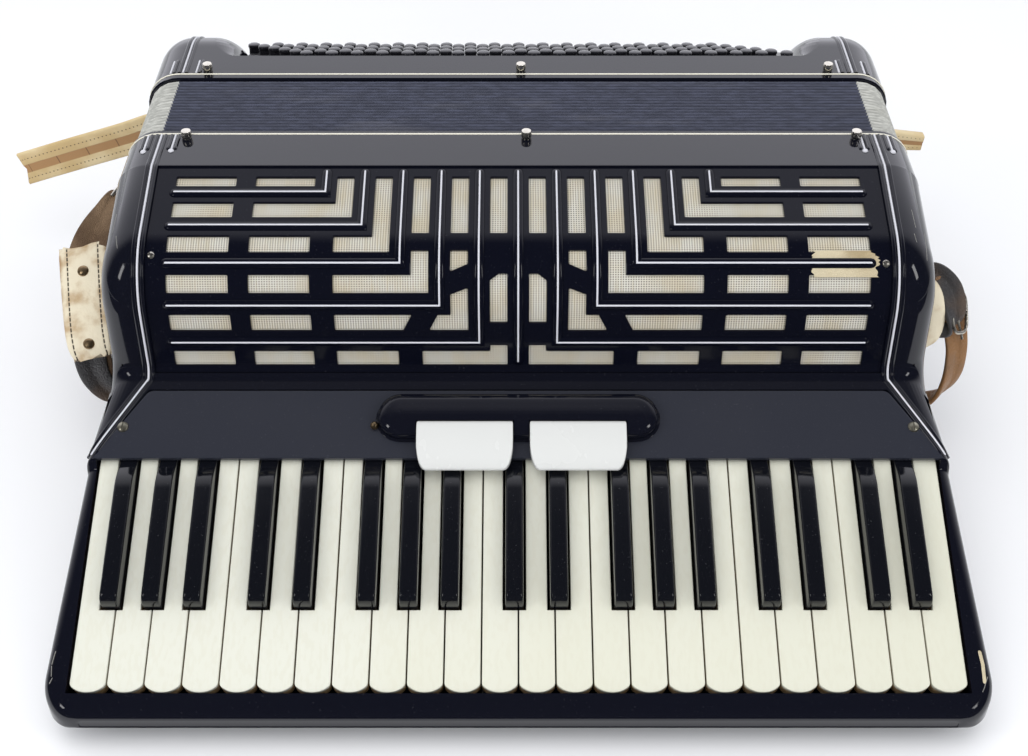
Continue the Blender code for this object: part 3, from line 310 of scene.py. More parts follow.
def leather_finish(name, colour, stain, rough=0.55, scale=420.0, strength=0.35):
    f = Finish(name, colour, rough)
    pores = f.node("TexVoronoi", {"feature": "DISTANCE_TO_EDGE"}, Vector=f.place(), Scale=scale).outputs[0]
    patches = f.noise(28.0, 5.0)
    f.base(f.mix(f.ramp(patches, 0.42, 0.68, 0.0, 0.75), colour, stain))
    f.rough(f.ramp(patches, 0.3, 0.7, rough - 0.1, rough + 0.12))
    f.bump(f.math("ADD", f.ramp(pores, 0.0, 0.25), f.math("MULTIPLY", f.noise(160.0, 4.0), 0.8)), strength, 0.0006)
    return f.mat


def bellows_finish(name, colour, worn):
    f = Finish(name, colour, 0.62)
    f.set(f.bsdf, "Sheen Weight", 0.2)
    grain = f.noise(520.0, 3.0, (0.25, 1.0, 1.0))
    scuff = f.ramp(f.noise(35.0, 5.0, (0.3, 1.0, 1.0)), 0.55, 0.72, 0.0, 0.35)
    # Painted shade: each fold's valley, found by the fold UV, is darkened to 0.16 of the cloth's colour
    painted_fold_shade = f.ramp(f.wave(f.math("MULTIPLY", f.uv()[1], math.pi)), 0.35, 0.85, 0.82, 0.0)
    surface = f.mix(scuff, f.mix(f.ramp(grain, 0.4, 0.65), colour, tuple(c * 1.35 for c in colour)), worn)
    f.base(f.mix(painted_fold_shade, surface, tuple(c * 0.16 for c in colour)))
    f.rough(f.ramp(grain, 0.35, 0.65, 0.5, 0.72))
    f.bump(grain, 0.25, 0.0004)
    return f.mat


def strap_finish():
    """Cream leather with a brown groove down its middle and a row of stitch holes on both sides, with painted shade in
    the holes.
    """
    f = Finish("stitched_cream_leather", (0.62, 0.48, 0.27), 0.5)
    along, across, _ = f.uv()
    across = f.math("ABSOLUTE", across)
    groove = f.ramp(across, 0.0030, 0.0036, 1.0, 0.0)
    tick = f.ramp(f.math("PINGPONG", along, 0.012), 0.0, 0.0007, 1.0, 0.0)
    step = f.ramp(f.math("PINGPONG", along, 0.0016), 0.0002, 0.0007, 1.0, 0.0)
    # Painted shade: the stitch holes are painted dark brown, as the shade inside them
    painted_hole_shade = f.math("MULTIPLY", f.stitch_row(across, 0.0078), step)
    patches = f.noise(30.0, 5.0)
    colour = f.mix(f.ramp(patches, 0.4, 0.7), (0.74, 0.60, 0.36), (0.58, 0.42, 0.20))
    colour = f.mix(groove, colour, f.mix(tick, (0.40, 0.22, 0.09), (0.16, 0.08, 0.03)))
    f.base(f.mix(f.math("MULTIPLY", painted_hole_shade, 0.9), colour, (0.10, 0.06, 0.03)))
    f.rough(f.ramp(patches, 0.3, 0.7, 0.42, 0.6))
    f.bump(f.math("SUBTRACT", f.noise(260.0, 4.0), f.math("ADD", painted_hole_shade, groove)), 0.4, 0.0006)
    return f.mat


def sleeve_finish():
    """Old cream leather: brown edges and stains, and a row of dark stitches near both sides."""
    f = Finish("cream_sleeve", (0.70, 0.62, 0.46), 0.55)
    along, across, _ = f.uv()
    across = f.math("ABSOLUTE", across)
    stitch = f.stitch_row(across, 0.0095)
    dash = f.ramp(f.math("PINGPONG", along, 0.0016), 0.0003, 0.0006, 0.15, 1.0)
    patches = f.noise(70.0, 6.0)
    colour = f.mix(f.ramp(patches, 0.45, 0.70, 0.0, 0.85), (0.74, 0.66, 0.50), (0.42, 0.27, 0.13))
    edge = f.math("MULTIPLY", f.ramp(across, 0.0115, 0.0150), f.ramp(f.noise(140.0, 3.0), 0.35, 0.6))
    colour = f.mix(f.math("MULTIPLY", edge, 0.8), colour, (0.30, 0.17, 0.07))
    f.base(f.mix(f.math("MULTIPLY", stitch, dash), colour, (0.05, 0.035, 0.02)))
    f.rough(f.ramp(patches, 0.3, 0.7, 0.5, 0.7))
    f.bump(f.math("SUBTRACT", f.noise(320.0, 5.0), stitch), 0.45, 0.0008)
    return f.mat


def wood_finish():
    f = Finish("spruce", (0.55, 0.38, 0.20), 0.6)
    rings = f.noise(40.0, 4.0, (1.0, 12.0, 12.0))
    f.base(f.mix(f.ramp(rings, 0.35, 0.65), (0.60, 0.43, 0.24), (0.42, 0.27, 0.13)))
    f.rough(f.ramp(rings, 0.3, 0.7, 0.5, 0.7))
    f.bump(rings, 0.2, 0.0005)
    return f.mat


BLACK = gloss("black_celluloid", (0.004, 0.0045, 0.009), 0.05, 0.10)
COVER_BLACK = gloss("cover_celluloid", (0.003, 0.0035, 0.008), 0.06, 0.13, 0.10, 0.28)
PANEL_BLACK = gloss("panel_celluloid", (0.024, 0.026, 0.036), 0.12, 0.20)
KEY_BLACK = gloss("black_key_celluloid", (0.004, 0.0045, 0.007), 0.08, 0.14, 0.2)
BUTTON_BLACK = gloss("button_celluloid", (0.012, 0.012, 0.016), 0.12, 0.22, 0.2)
BOARD_BLACK = gloss("board_celluloid", (0.014, 0.014, 0.017), 0.3, 0.42)
IVORY = ivory_finish()
WHITE = gloss("white_celluloid", (0.61, 0.615, 0.605), 0.20, 0.30, 0.0)
CHROME = gloss("bright_inlay", (0.60, 0.60, 0.65), 0.20, 0.34, 0.0)
NICKEL = metal_finish("nickel", (0.66, 0.63, 0.56), 0.22, 0.4)
BRASS = metal_finish("dull_brass", (0.42, 0.40, 0.32), 0.3, 0.5)
BRONZE = metal_finish("bronze", (0.36, 0.26, 0.15), 0.28, 0.5)
STEEL = metal_finish("steel_rod", (0.60, 0.60, 0.60), 0.2, 0.35)
CLOTH = cloth_finish()
BELLOWS = bellows_finish("bellows_cloth", (0.052, 0.057, 0.088), (0.16, 0.16, 0.19))
CREAM_CLOTH = bellows_finish("bellows_corner_cloth", (0.42, 0.42, 0.395), (0.30, 0.29, 0.24))
BINDING = gloss("cream_binding", (0.74, 0.71, 0.60), 0.25, 0.4, 0.0)
STRAP = strap_finish()
SUEDE = leather_finish("brown_suede", (0.115, 0.068, 0.038), (0.27, 0.18, 0.11), 0.88, 900.0, 0.7)
SCRATCH = gloss("dull_scratch", (0.26, 0.25, 0.23), 0.4, 0.5, 0.0)
SLEEVE = sleeve_finish()
RIM_LEATHER = leather_finish("orange_brown_leather", (0.26, 0.13, 0.05), (0.10, 0.09, 0.08), 0.45)
TORN = leather_finish("torn_cloth", (0.60, 0.52, 0.36), (0.34, 0.25, 0.13), 0.85, 900.0, 0.6)
DARK_LEATHER = leather_finish("dark_leather", (0.045, 0.043, 0.045), (0.11, 0.07, 0.045), 0.38)
WOOD = wood_finish()


# Meshes

def keep(obj, body, slot, stands_for=()):
    """Puts a finished piece on its body and hides the nodes that it stands for; slot is not used."""
    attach(obj, body)
    if stands_for:
        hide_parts(*stands_for)
    return obj


def mesh_piece(name, verts, faces, mats, face_mats=None, smooth=True):
    mesh = bpy.data.meshes.new(name)
    mesh.from_pydata([tuple(v) for v in verts], [], faces)
    mesh.validate()
    for mat in mats if isinstance(mats, (list, tuple)) else [mats]:
        mesh.materials.append(mat)
    if face_mats:
        mesh.polygons.foreach_set("material_index", face_mats)
    mesh.polygons.foreach_set("use_smooth", [smooth] * len(mesh.polygons))
    obj = bpy.data.objects.new(name, mesh)
    bpy.context.scene.collection.objects.link(obj)
    return obj


def loft(rings, closed=True, caps=True, base=0):
    """Points and faces through rings of equal length."""
    verts = [p for ring in rings for p in ring]
    count = len(rings[0])
    faces = []
    for r in range(len(rings) - 1):
        for i in range(count if closed else count - 1):
            j = (i + 1) % count
            a, b = base + r * count, base + (r + 1) * count
            faces.append((a + i, a + j, b + j, b + i))
    if caps and closed:
        faces.append(tuple(base + i for i in reversed(range(count))))
        faces.append(tuple(base + (len(rings) - 1) * count + i for i in range(count)))
    return verts, faces


def outward(obj):
    bm = bmesh.new()
    bm.from_mesh(obj.data)
    bmesh.ops.recalc_face_normals(bm, faces=bm.faces)
    bm.to_mesh(obj.data)
    bm.free()


def sharpen(obj, angle=32, weighted=True):
    obj.data.set_sharp_from_angle(angle=math.radians(angle))
    if weighted:
        mod = obj.modifiers.new("Weighted", "WEIGHTED_NORMAL")
        mod.keep_sharp = True
        mod.weight = 90


def apply_modifiers(obj):
    depsgraph = bpy.context.evaluated_depsgraph_get()
    mesh = bpy.data.meshes.new_from_object(obj.evaluated_get(depsgraph))
    mesh.name = obj.name
    obj.modifiers.clear()
    obj.data = mesh


def solid(name, shape, mats, angle=None, weighted=True, face_mats=None):
    """A closed piece from (points, faces), its faces turned out and its edges over the angle kept sharp."""
    obj = mesh_piece(name, *shape, mats, face_mats)
    outward(obj)
    if angle:
        sharpen(obj, angle, weighted)
    return obj


def unwrap(obj, place):
    """Gives each corner of a mesh the UV that place says for the number of its point."""
    layer = obj.data.uv_layers.new(name="UVMap")
    for loop in obj.data.loops:
        layer.data[loop.index].uv = place(loop.vertex_index)


def hoop(rings):
    """Points and faces through closed rings, with the last one joined to the first."""
    verts, faces = loft(rings, True, False)
    count = len(rings[0])
    last = len(verts) - count
    faces += [(last + i, last + (i + 1) % count, (i + 1) % count, i) for i in range(count)]
    return verts, faces


def cut(obj, shape):
    """Cuts a closed solid, given as points and faces, out of obj."""
    cutter = mesh_piece("cutter", *shape, obj.data.materials[0], smooth=False)
    outward(cutter)
    mod = obj.modifiers.new("Cut", "BOOLEAN")
    mod.object, mod.operation, mod.solver = cutter, "DIFFERENCE", "EXACT"
    bpy.context.view_layer.update()
    apply_modifiers(obj)
    bpy.data.objects.remove(cutter)


def polish(obj, reference, limit=25):
    """Gives the faces that lie on the reference surface its smooth normals, and the rest flat ones."""
    source = reference.data
    source.calc_loop_triangles()
    points = [v.co.copy() for v in source.vertices]
    normals = [v.normal.copy() for v in source.vertices]
    triangles = [tuple(t.vertices) for t in source.loop_triangles]
    tree = BVHTree.FromPolygons(points, triangles)
    mesh = obj.data
    near = math.cos(math.radians(limit))
    nearest, found = {}, []
    for poly in mesh.polygons:
        poly.use_smooth = True
        for index in poly.loop_indices:
            vertex = mesh.loops[index].vertex_index
            if vertex not in nearest:
                place, _, tri, distance = tree.find_nearest(mesh.vertices[vertex].co)
                corners = triangles[tri]
                weights = barycentric(place, *(points[i] for i in corners))
                smooth = sum((normals[i] * weight for i, weight in zip(corners, weights)), Vector())
                nearest[vertex] = (smooth.normalized(), distance)
            smooth, distance = nearest[vertex]
            on_surface = distance < 5e-5 and smooth.dot(poly.normal) > near
            found.append(tuple(smooth if on_surface else poly.normal))
    mesh.normals_split_custom_set(found)


def barycentric(p, a, b, c):
    v0, v1, v2 = b - a, c - a, p - a
    d00, d01, d11 = v0.dot(v0), v0.dot(v1), v1.dot(v1)
    d20, d21 = v2.dot(v0), v2.dot(v1)
    under = d00 * d11 - d01 * d01
    if abs(under) < 1e-18:
        return 1.0, 0.0, 0.0
    v = (d11 * d20 - d01 * d21) / under
    w = (d00 * d21 - d01 * d20) / under
    return 1 - v - w, v, w


def carve(name, shape, cutters, body, node):
    """A black shell: the shape less its cutters, with the smooth normals of the uncut shape."""
    shell, reference = solid(name, shape, BLACK), solid("reference", shape, BLACK)
    for cutter in cutters:
        cut(shell, cutter)
    polish(shell, reference)
    bpy.data.objects.remove(reference)
    keep(shell, body, "gloss_black", (node,))


def mix(a, b, share):
    return a + (b - a) * max(0.0, min(1.0, share))


def spread(start, end, steps):
    return [start + (end - start) * i / steps for i in range(steps + 1)]


# The treble side's own lines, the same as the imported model's

def key_place(s, h):
    """(t, Z) of a place s past the panel's edge and h over the key tops; t runs from the joint."""
    cos, sin = math.cos(KEY_TILT), math.sin(KEY_TILT)
    return KEY_REACH + s * cos + h * sin, KEY_PLANE - s * sin + h * cos


def key_point(x, s, h):
    t, z = key_place(s, h)
    return (x, JOINT_Y - t, z)


def front_path(v, lift=0.0, with_angle=False):
    """(t, Z) on the grille's path, v along it from the flat strip, lift out from it."""
    t, z, angle = STRIP_LENGTH, BODY_DEPTH, SLOPE
    if v < 0:
        place = (t + v, z + lift)
        return (*place, 0.0) if with_angle else place
    stretches = (
        (SLOPE_LENGTH, 0.0),
        (GRILLE_BEND * (STEEP - SLOPE), 1 / GRILLE_BEND),
        (STEEP_LENGTH, 0.0),
        (BASE_BEND * (STEEP - KEY_TILT), -1 / BASE_BEND),
        (1.0, 0.0),
    )
    for length, bend in stretches:
        run = min(v, length)
        if bend:
            after = angle + run * bend
            t += (math.sin(after) - math.sin(angle)) / bend
            z += (math.cos(after) - math.cos(angle)) / bend
            angle = after
        else:
            t += run * math.cos(angle)
            z -= run * math.sin(angle)
        v -= run
        if v <= 0:
            break
    place = (t + lift * math.sin(angle), z + lift * math.cos(angle))
    return (*place, angle) if with_angle else place


BEND_START = SLOPE_LENGTH
BEND_END = SLOPE_LENGTH + GRILLE_BEND * (STEEP - SLOPE)
BASE_START = BEND_END + STEEP_LENGTH
BASE_END = BASE_START + BASE_BEND * (STEEP - KEY_TILT)


def stations(start, end, step=0.0022):
    """Places along the grille's path, close together on its bends."""
    marks = [start]
    for a, b, fine in ((BEND_START, BEND_END, step), (BASE_START, BASE_END, 0.0009)):
        marks += spread(a, b, max(1, round((b - a) / fine)))
    marks = [v for v in marks if start + 0.0004 < v < end - 0.0004]
    return [start] + marks + [end]


def body_half(t):
    """Half width of the treble side, t from the joint."""
    bend_t = front_path(BEND_START)[0]
    panel_t = key_place(0.0, PANEL_RISE)[0]
    if t < CASING_LENGTH:
        return mix(BODY_HALF, BASE_HALF, (t - bend_t) / (CASING_LENGTH - bend_t))
    if t < panel_t:
        return mix(BASE_HALF, CHEEK_HALF_REAR, (t - CASING_LENGTH) / (panel_t - CASING_LENGTH))
    return mix(CHEEK_HALF_REAR, CHEEK_HALF_FRONT, (t - panel_t) / WHITE_LENGTH)


def edge_radius(t):
    return mix(SHOULDER, CHEEK_ROUND, (t - ROUND_START) / (KEY_REACH - ROUND_START))


def pillow(top, under, steps):
    """Points and faces of a solid across X with rounded side edges, its sides filled with quads.

    Each point of top and under is (Y, Z, half width, edge radius, inward Y, inward Z), and there
    are as many in one as in the other.
    """
    points = top + under[::-1]
    rings, turns = [], spread(0.0, math.pi / 2, steps)
    for side, angle in [(-1, turn) for turn in turns[::-1]] + [(1, turn) for turn in turns]:
        ring = []
        for y, z, half, radius, in_y, in_z in points:
            inset = radius * (1 - math.cos(angle))
            ring.append((side * (half - radius + radius * math.sin(angle)), y + in_y * inset, z + in_z * inset))
        rings.append(ring)
    verts, faces = loft(rings, caps=False)
    count, rows = len(points), len(top)
    for first, flip in ((0, True), (len(rings) * count - count, False)):
        for i in range(rows - 1):
            quad = (first + i, first + i + 1, first + count - 2 - i, first + count - 1 - i)
            faces.append(quad[::-1] if flip else quad)
    return verts, faces


def inward(line):
    """Inward directions along an open line of (Y, Z) points that runs over the solid towards -Y."""
    normals = []
    for i in range(len(line)):
        before = Vector(line[max(i - 1, 0)])
        after = Vector(line[min(i + 1, len(line) - 1)])
        along = (after - before).normalized()
        normals.append((-along.y, along.x))
    return normals


def prism(outline, low, high):
    return loft([[(x, y, z) for y, z in outline] for x in (low, high)])


def path_band(start, end, high, low):
    marks = stations(start, end)
    outer = [front_path(v, high) for v in marks]
    inner = [front_path(v, low) for v in marks]
    return [(JOINT_Y - t, z) for t, z in outer + inner[::-1]]


def casing_line():
    """(t, Z) along the treble casing's front, from the joint to where the keyboard begins."""
    line = [(t, BODY_DEPTH) for t in spread(0.0, STRIP_LENGTH - 0.003, 6)]
    for v in [-0.0015] + stations(0.0, BASE_END):
        t, z = front_path(v)
        if line[-1][0] + 0.0003 < t < CASING_LENGTH - 0.0003:
            line.append((t, z))
    t, z = front_path(BASE_END)
    line.append((CASING_LENGTH, z - (CASING_LENGTH - t) * math.tan(KEY_TILT)))
    return line


def build_casing():
    line = [(JOINT_Y - t, z) for t, z in casing_line()]
    top, under = [], []
    for (y, z), (in_y, in_z) in zip(line, inward(line)):
        half, radius = body_half(JOINT_Y - y), edge_radius(JOINT_Y - y)
        top.append((y, z, half, radius, in_y, in_z))
        under.append((y, 0.0, half, BACK_EDGE, 0.0, 1.0))
    top[0] = (*top[0][:4], 0.0, -1.0)
    top[-1] = (*top[-1][:4], 0.0, -1.0)
    seat = -COVER_SUNK - COVER_THICK - GAP
    pocket = prism(path_band(-GAP, COVER_LENGTH + GAP, CUT_OUT, seat), -COVER_HALF - GAP, COVER_HALF + GAP)
    wall_t = CASING_LENGTH - WALL
    inner = [(-CUT_OUT, BODY_DEPTH - WALL), (STRIP_LENGTH, BODY_DEPTH - WALL)]
    inner += [front_path(v, -WALL) for v in stations(0.0, BASE_START, 0.008)[1:]]
    inner = [(t, z) for t, z in inner if t < wall_t]
    inner += [(wall_t, inner[-1][1] - 0.001), (wall_t, WALL), (-CUT_OUT, WALL)]
    hollow = prism([(JOINT_Y - t, z) for t, z in inner], -BODY_HALF + WALL, BODY_HALF - WALL)
    half = COVER_HALF - LEDGE
    window = prism(path_band(LEDGE, COVER_LENGTH - LEDGE, 0.004, -WALL - 0.004), -half, half)
    carve("treble_casing_shell", pillow(top, under, 14), (pocket, hollow, window), "treble", "treble_casing")


def rail_top(s):
    over = max(0.0, (s - RAIL_END + RAIL_ROUND) / RAIL_ROUND)
    return CHEEK_RISE - RAIL_ROUND * (1 - math.sqrt(max(0.0, 1 - over * over)))


def underside(t):
    return BED_BOTTOM + max(0.0, t - UNDER_START) * math.tan(UNDER_SLOPE)


def bed_rise(s):
    """Height of the cheeks over the key tops: the panel's height, then a smooth fall to beside the keys."""
    share = max(0.0, min(1.0, (s + 0.0005) / 0.0055))
    return mix(PANEL_RISE, CHEEK_RISE, share * share * (3 - 2 * share))


def build_bed():
    start = CASING_LENGTH + 0.00005
    start_s = (start - KEY_REACH) / math.cos(KEY_TILT)
    corner_s = RAIL_END - PLAN_CORNER / math.cos(KEY_TILT)
    slope_z = KEY_PLANE + PANEL_RISE / math.cos(KEY_TILT)
    line = [(0.0, (start, slope_z + (KEY_REACH - start) * math.tan(KEY_TILT)))]
    for s in [start_s * 0.5] + spread(-0.001, 0.006, 9) + spread(0.02, corner_s, 8)[:-1]:
        line.append((0.0, key_place(s, bed_rise(s))))
    for turn in spread(0.0, math.pi / 2, 16):
        s = mix(corner_s, RAIL_END, math.sin(turn))
        line.append((math.sin(turn), key_place(s, rail_top(s))))
    end_t = line[-1][1][0]
    top, under = [], []
    for share, (t, z) in line:
        half = body_half(t) - PLAN_CORNER * (1 - math.sqrt(1 - min(share, 0.995) ** 2))
        over = min(1.0, max(0.0, (t - end_t + UNDER_ROUND) / UNDER_ROUND))
        low = underside(t) + UNDER_ROUND * (1 - math.sqrt(1 - over * over))
        top.append((JOINT_Y - t, z, half, min(edge_radius(t), (z - low) * 0.55), 0.0, -1.0))
        under.append((JOINT_Y - t, low, half, min(BACK_EDGE * 0.5, (z - low) * 0.3), 0.0, 1.0))
    rail_s = WHITE_LENGTH + KEY_GAP
    front_t = key_place(rail_s, -WHITE_THICK - 0.006)[0]
    panel_edge = key_place(0.0, PANEL_RISE - PANEL_THICK)
    rear = start + BED_BACK_WALL
    rear_z = panel_edge[1] + (panel_edge[0] - rear) * math.tan(KEY_TILT)
    floor = [(t, underside(t) + BED_FLOOR) for t in (front_t, UNDER_START, rear)]
    outline = [key_place(rail_s, CUT_OUT), *floor, (rear, rear_z), panel_edge, key_place(0.0, CUT_OUT)]
    half = KEYS_HALF + KEY_GAP
    tray = prism([(JOINT_Y - t, z) for t, z in outline], -half, half)
    heights = (PANEL_RISE - PANEL_THICK - GAP, PANEL_RISE + CUT_OUT)
    recess = loft([[key_point(x, s, h) for x, s in panel_outline(GAP)] for h in heights])
    carve("keyboard_bed_shell", pillow(top, under, 10), (tray, recess), "treble", "keyboard_bed")


def panel_outline(grow=0.0):
    near = -(KEY_REACH - CASING_LENGTH) / math.cos(KEY_TILT) + BED_BACK_WALL * 0.6
    flare = (PANEL_HALF_FRONT - PANEL_HALF_REAR) / -near
    wide = PANEL_HALF_FRONT + grow * math.sqrt(1 + flare * flare)
    corners = []
    for s, sides in ((near - grow, (-1, 1)), (grow, (1, -1))):
        corners += [(side * (wide + s * flare), s) for side in sides]
    return corners


def rounded(outline, radii, steps=6):
    """The outline with its corners rounded by the radii."""
    result = []
    count = len(outline)
    for i in range(count):
        before, here, after = (Vector(outline[(i + k) % count]) for k in (-1, 0, 1))
        radius = radii[i]
        if radius <= 0:
            result.append(tuple(here))
            continue
        a, b = (before - here).normalized(), (after - here).normalized()
        reach = min(radius / math.tan(a.angle(b) / 2), (before - here).length * 0.5, (after - here).length * 0.5)
        p, q = here + a * reach, here + b * reach
        result += [tuple(p * (1 - u) ** 2 + here * (2 * u * (1 - u)) + q * u * u) for u in spread(0.0, 1.0, steps)]
    return result


def shrink(outline, amount):
    """The outline moved in by amount; it turns counter-clockwise."""
    area = sum(a[0] * b[1] - b[0] * a[1] for a, b in zip(outline, outline[1:] + outline[:1]))
    sign = 1 if area > 0 else -1
    moved = []
    count = len(outline)
    for i in range(count):
        before, here, after = (Vector(outline[(i + k) % count]) for k in (-1, 0, 1))
        a, b = (here - before).normalized(), (after - here).normalized()
        if a.length < 0.5 or b.length < 0.5:
            a = b = (after - before).normalized()
        push = Vector((-a.y, a.x)) + Vector((-b.y, b.x))
        push = push / max(0.4, 1 + a.dot(b))
        moved.append(tuple(here + push * amount * sign))
    return moved


def slab(outline, levels, place):
    """Points and faces through copies of the outline: levels are (inset, height), place makes a point."""
    return loft([[place(x, s, h) for x, s in shrink(outline, inset)] for inset, h in levels])


def build_panel():
    outline = rounded(panel_outline(), (0.006, 0.006, 0.0, 0.0), 8)
    h = PANEL_RISE
    levels = ((0.0, h - PANEL_THICK), (0.0, h - 0.0008), (0.0003, h - 0.0002), (0.0009, h))
    panel = solid("key_panel_plate", slab(outline, levels, key_point), PANEL_BLACK, 60)
    keep(panel, "treble", "satin_black", ("key_panel",))


# Keys

def blacks_by_white():
    letters = [KEY_OCTAVE[i % 7] for i in range(WHITE_KEYS)]
    places = {}
    for i in range(WHITE_KEYS - 1):
        if letters[i] in BLACK_AFTER:
            places[i] = (i + 1) * KEY_PITCH - KEYS_HALF + BLACK_AFTER[letters[i]]
    return places


def key_outline(index, blacks):
    middle = (index + 0.5) * KEY_PITCH - KEYS_HALF
    half = (KEY_PITCH - KEY_GAP) / 2
    clear = BLACK_WIDTH / 2 + KEY_GAP
    notch = BLACK_LENGTH + NOTCH_GAP
    left, right = -half, half
    if index - 1 in blacks:
        left = blacks[index - 1] + clear - middle
    if index in blacks:
        right = blacks[index] - clear - middle
    outline = [(left, -TAIL)]
    if left > -half:
        outline += [(left, notch), (-half, notch)]
    corner = [(half, WHITE_LENGTH - TIP_BULGE - 0.0012), (half - 0.0003, WHITE_LENGTH - TIP_BULGE)]
    outline += [(-x, s) for x, s in corner]
    outline += [(share * half, WHITE_LENGTH - TIP_BULGE * abs(share) ** 2.2) for share in spread(-1, 1, 16)[1:-1]]
    outline += corner[::-1]
    if right < half:
        outline += [(half, notch), (right, notch)]
    outline.append((right, -TAIL))
    return [(x + middle, s) for x, s in outline]


def build_white(index, blacks, rng):
    dip = rng.uniform(-0.00025, 0.00015)
    levels = ((0.0, -WHITE_THICK), (0.0, -0.0026), (0.0, -0.0007), (0.0001, -0.0003), (0.0003, -0.0001), (0.0007, 0.0))

    def place(x, s, h):
        share = max(0.0, min(1.0, (s + TAIL) / WHITE_LENGTH))
        return key_point(x, s, h + dip * share)

    verts, faces = slab(key_outline(index, blacks), levels, place)
    wood_sides = len(verts) // len(levels)
    materials = [1 if i < wood_sides else 0 for i in range(len(faces) - 2)] + [1, 0]
    key = solid(f"white_key_top_{index + 1:02d}", (verts, faces), [IVORY, WOOD], 50, face_mats=materials)
    keep(key, f"white_{index + 1:02d}_lever", "ivory", (f"white_key_{index + 1:02d}",))


def black_section(half, height, s_foot, s_crown, radius=0.0016):
    """A section across a black key: straight sides, drawn in a little, and a rounded crown."""
    crown = half - 0.0006
    section = [(-half, -WHITE_THICK, s_foot), (half, -WHITE_THICK, s_foot)]
    right = []
    for turn in spread(0.0, math.pi / 2, 4):
        x = crown - radius * (1 - math.cos(turn))
        h = height - radius * (1 - math.sin(turn))
        right.append((x, h, mix(s_foot, s_crown, (h + WHITE_THICK) / (height + WHITE_THICK))))
    return section + right + [(0.0, height + 0.00012, s_crown)] + [(-x, h, s) for x, h, s in right[::-1]]


def build_black(number, middle):
    half, end = BLACK_WIDTH / 2, BLACK_LENGTH
    sections = [(half, BLACK_REAR, s, s, 0.0007) for s in (-TAIL, -0.004, -0.0004)]
    for share in spread(0.0, 1.0, 8):
        s = mix(0.0002, 0.020, share)
        rise = mix(BLACK_REAR, BLACK_HEIGHT - 0.0004, math.sin(share * math.pi / 2) ** 1.1)
        sections.append((half, rise, s, s, mix(0.0007, 0.0016, share)))
    sections.append((half, BLACK_HEIGHT, 0.06, 0.06))
    nose = ((0.0052, 0.0), (0.0034, 0.0003), (0.0020, 0.0011), (0.0010, 0.0026), (0.0004, 0.0048))
    for back, drop in nose:
        sections.append((half - 0.0002 + back * 0.02, BLACK_HEIGHT - drop, end - back * 0.12, end - back))
    sections.append((half - 0.0005, BLACK_HEIGHT - 0.0085, end, end, 0.0006))
    rings = [[key_point(x + middle, s, h) for x, h, s in black_section(*section)] for section in sections]
    key = solid(f"black_key_top_{number:02d}", loft(rings), KEY_BLACK, 50, False)
    keep(key, f"black_{number:02d}_lever", "black_key", (f"black_key_{number:02d}",))


# The grille

def row_place(row):
    return FIRST_ROW + ROW_PITCH * (row - 1)


def grille_cells():
    """Cell outlines in (strip pitches, distance down the cover), for the +X half."""
    top, inset = 0.0074, 0.0070
    half = 0.22
    outer, second, third = (7.36, 8.92), (5.30, 6.84), (3.10, 4.70)

    def band(row):
        return row_place(row) + inset, row_place(row + 1) - inset

    def box(left, right, high, low):
        return [(left, high), (right, high), (right, low), (left, low)]

    def corner(column, right, rise, row):
        high, low = band(row)
        left, inside = column - half, column + half
        return [(left, rise), (inside, rise), (inside, high), (right, high), (right, low), (left, low)]

    cells = []
    rows = [(top, FIRST_ROW - 0.0056)] + [band(row) for row in (1, 2, 3, 4, 5)]
    rows[-1] = (rows[-1][0], rows[-1][1] - 0.0015)
    cells += [box(*outer, high, low) for high, low in rows]
    cells.append(box(*second, *rows[0]))
    cells += [box(*second, high, low) for high, low in rows[2:]]
    cells.append(corner(4.5, second[1], top, 1))
    cells.append(corner(3.5, third[1], top, 2))
    cells.append(corner(2.5, third[1], row_place(2) + 0.0167, 3))
    cells.append(box(*third, *rows[5]))
    high, low = rows[4]
    cells.append([(2.72, high), (third[1], high), (third[1], low), (2.95, low)])
    arm = row_place(4) - 0.010
    cells.append([(1.28, arm), (1.72, arm + 0.004), (1.72, high), (2.05, high), (2.28, low), (1.28, low)])
    cells.append([(1.28, 0.0607), (1.72, 0.0607), (1.72, 0.0735), (1.28, 0.0690)])
    high, low = rows[5]
    foot = 2.48
    cells.append([(0.28, high - 0.004), (0.72, high - 0.004), (0.72, high), (foot, high), (foot, low), (0.28, low)])
    cells.append([(0.28, 0.0750), (0.50, 0.0750), (0.72, 0.0790), (0.72, 0.1056), (0.28, 0.1056)])
    upright_end = row_place(2) + 0.0046
    for column in (0.5, 1.5, 2.5):
        cells.append(box(column - half, column + half, top, upright_end))
    return cells


def cover_place(x, v, lift):
    t, z = front_path(v, lift - COVER_SUNK)
    return (x, JOINT_Y - t, z)


def soft_corners(cell):
    return rounded(cell, [0.0007] * len(cell), 3)


def flat_sheet(outlines, marks):
    """The flat cover's points and triangles with, for each triangle, the outlines that it lies in."""
    points = list(COVER_CORNERS)
    edges, faces = [], [[0, 1, 2, 3]]
    for outline in outlines:
        start = len(points)
        points += outline
        faces.append(list(range(start, len(points))))
    for v in marks:
        edges.append((len(points), len(points) + 1))
        points += [(-COVER_HALF, v), (COVER_HALF, v)]
    found = delaunay_2d_cdt([Vector(p) for p in points], edges, faces, 1, 1e-7)
    return found[0], found[2], found[5]


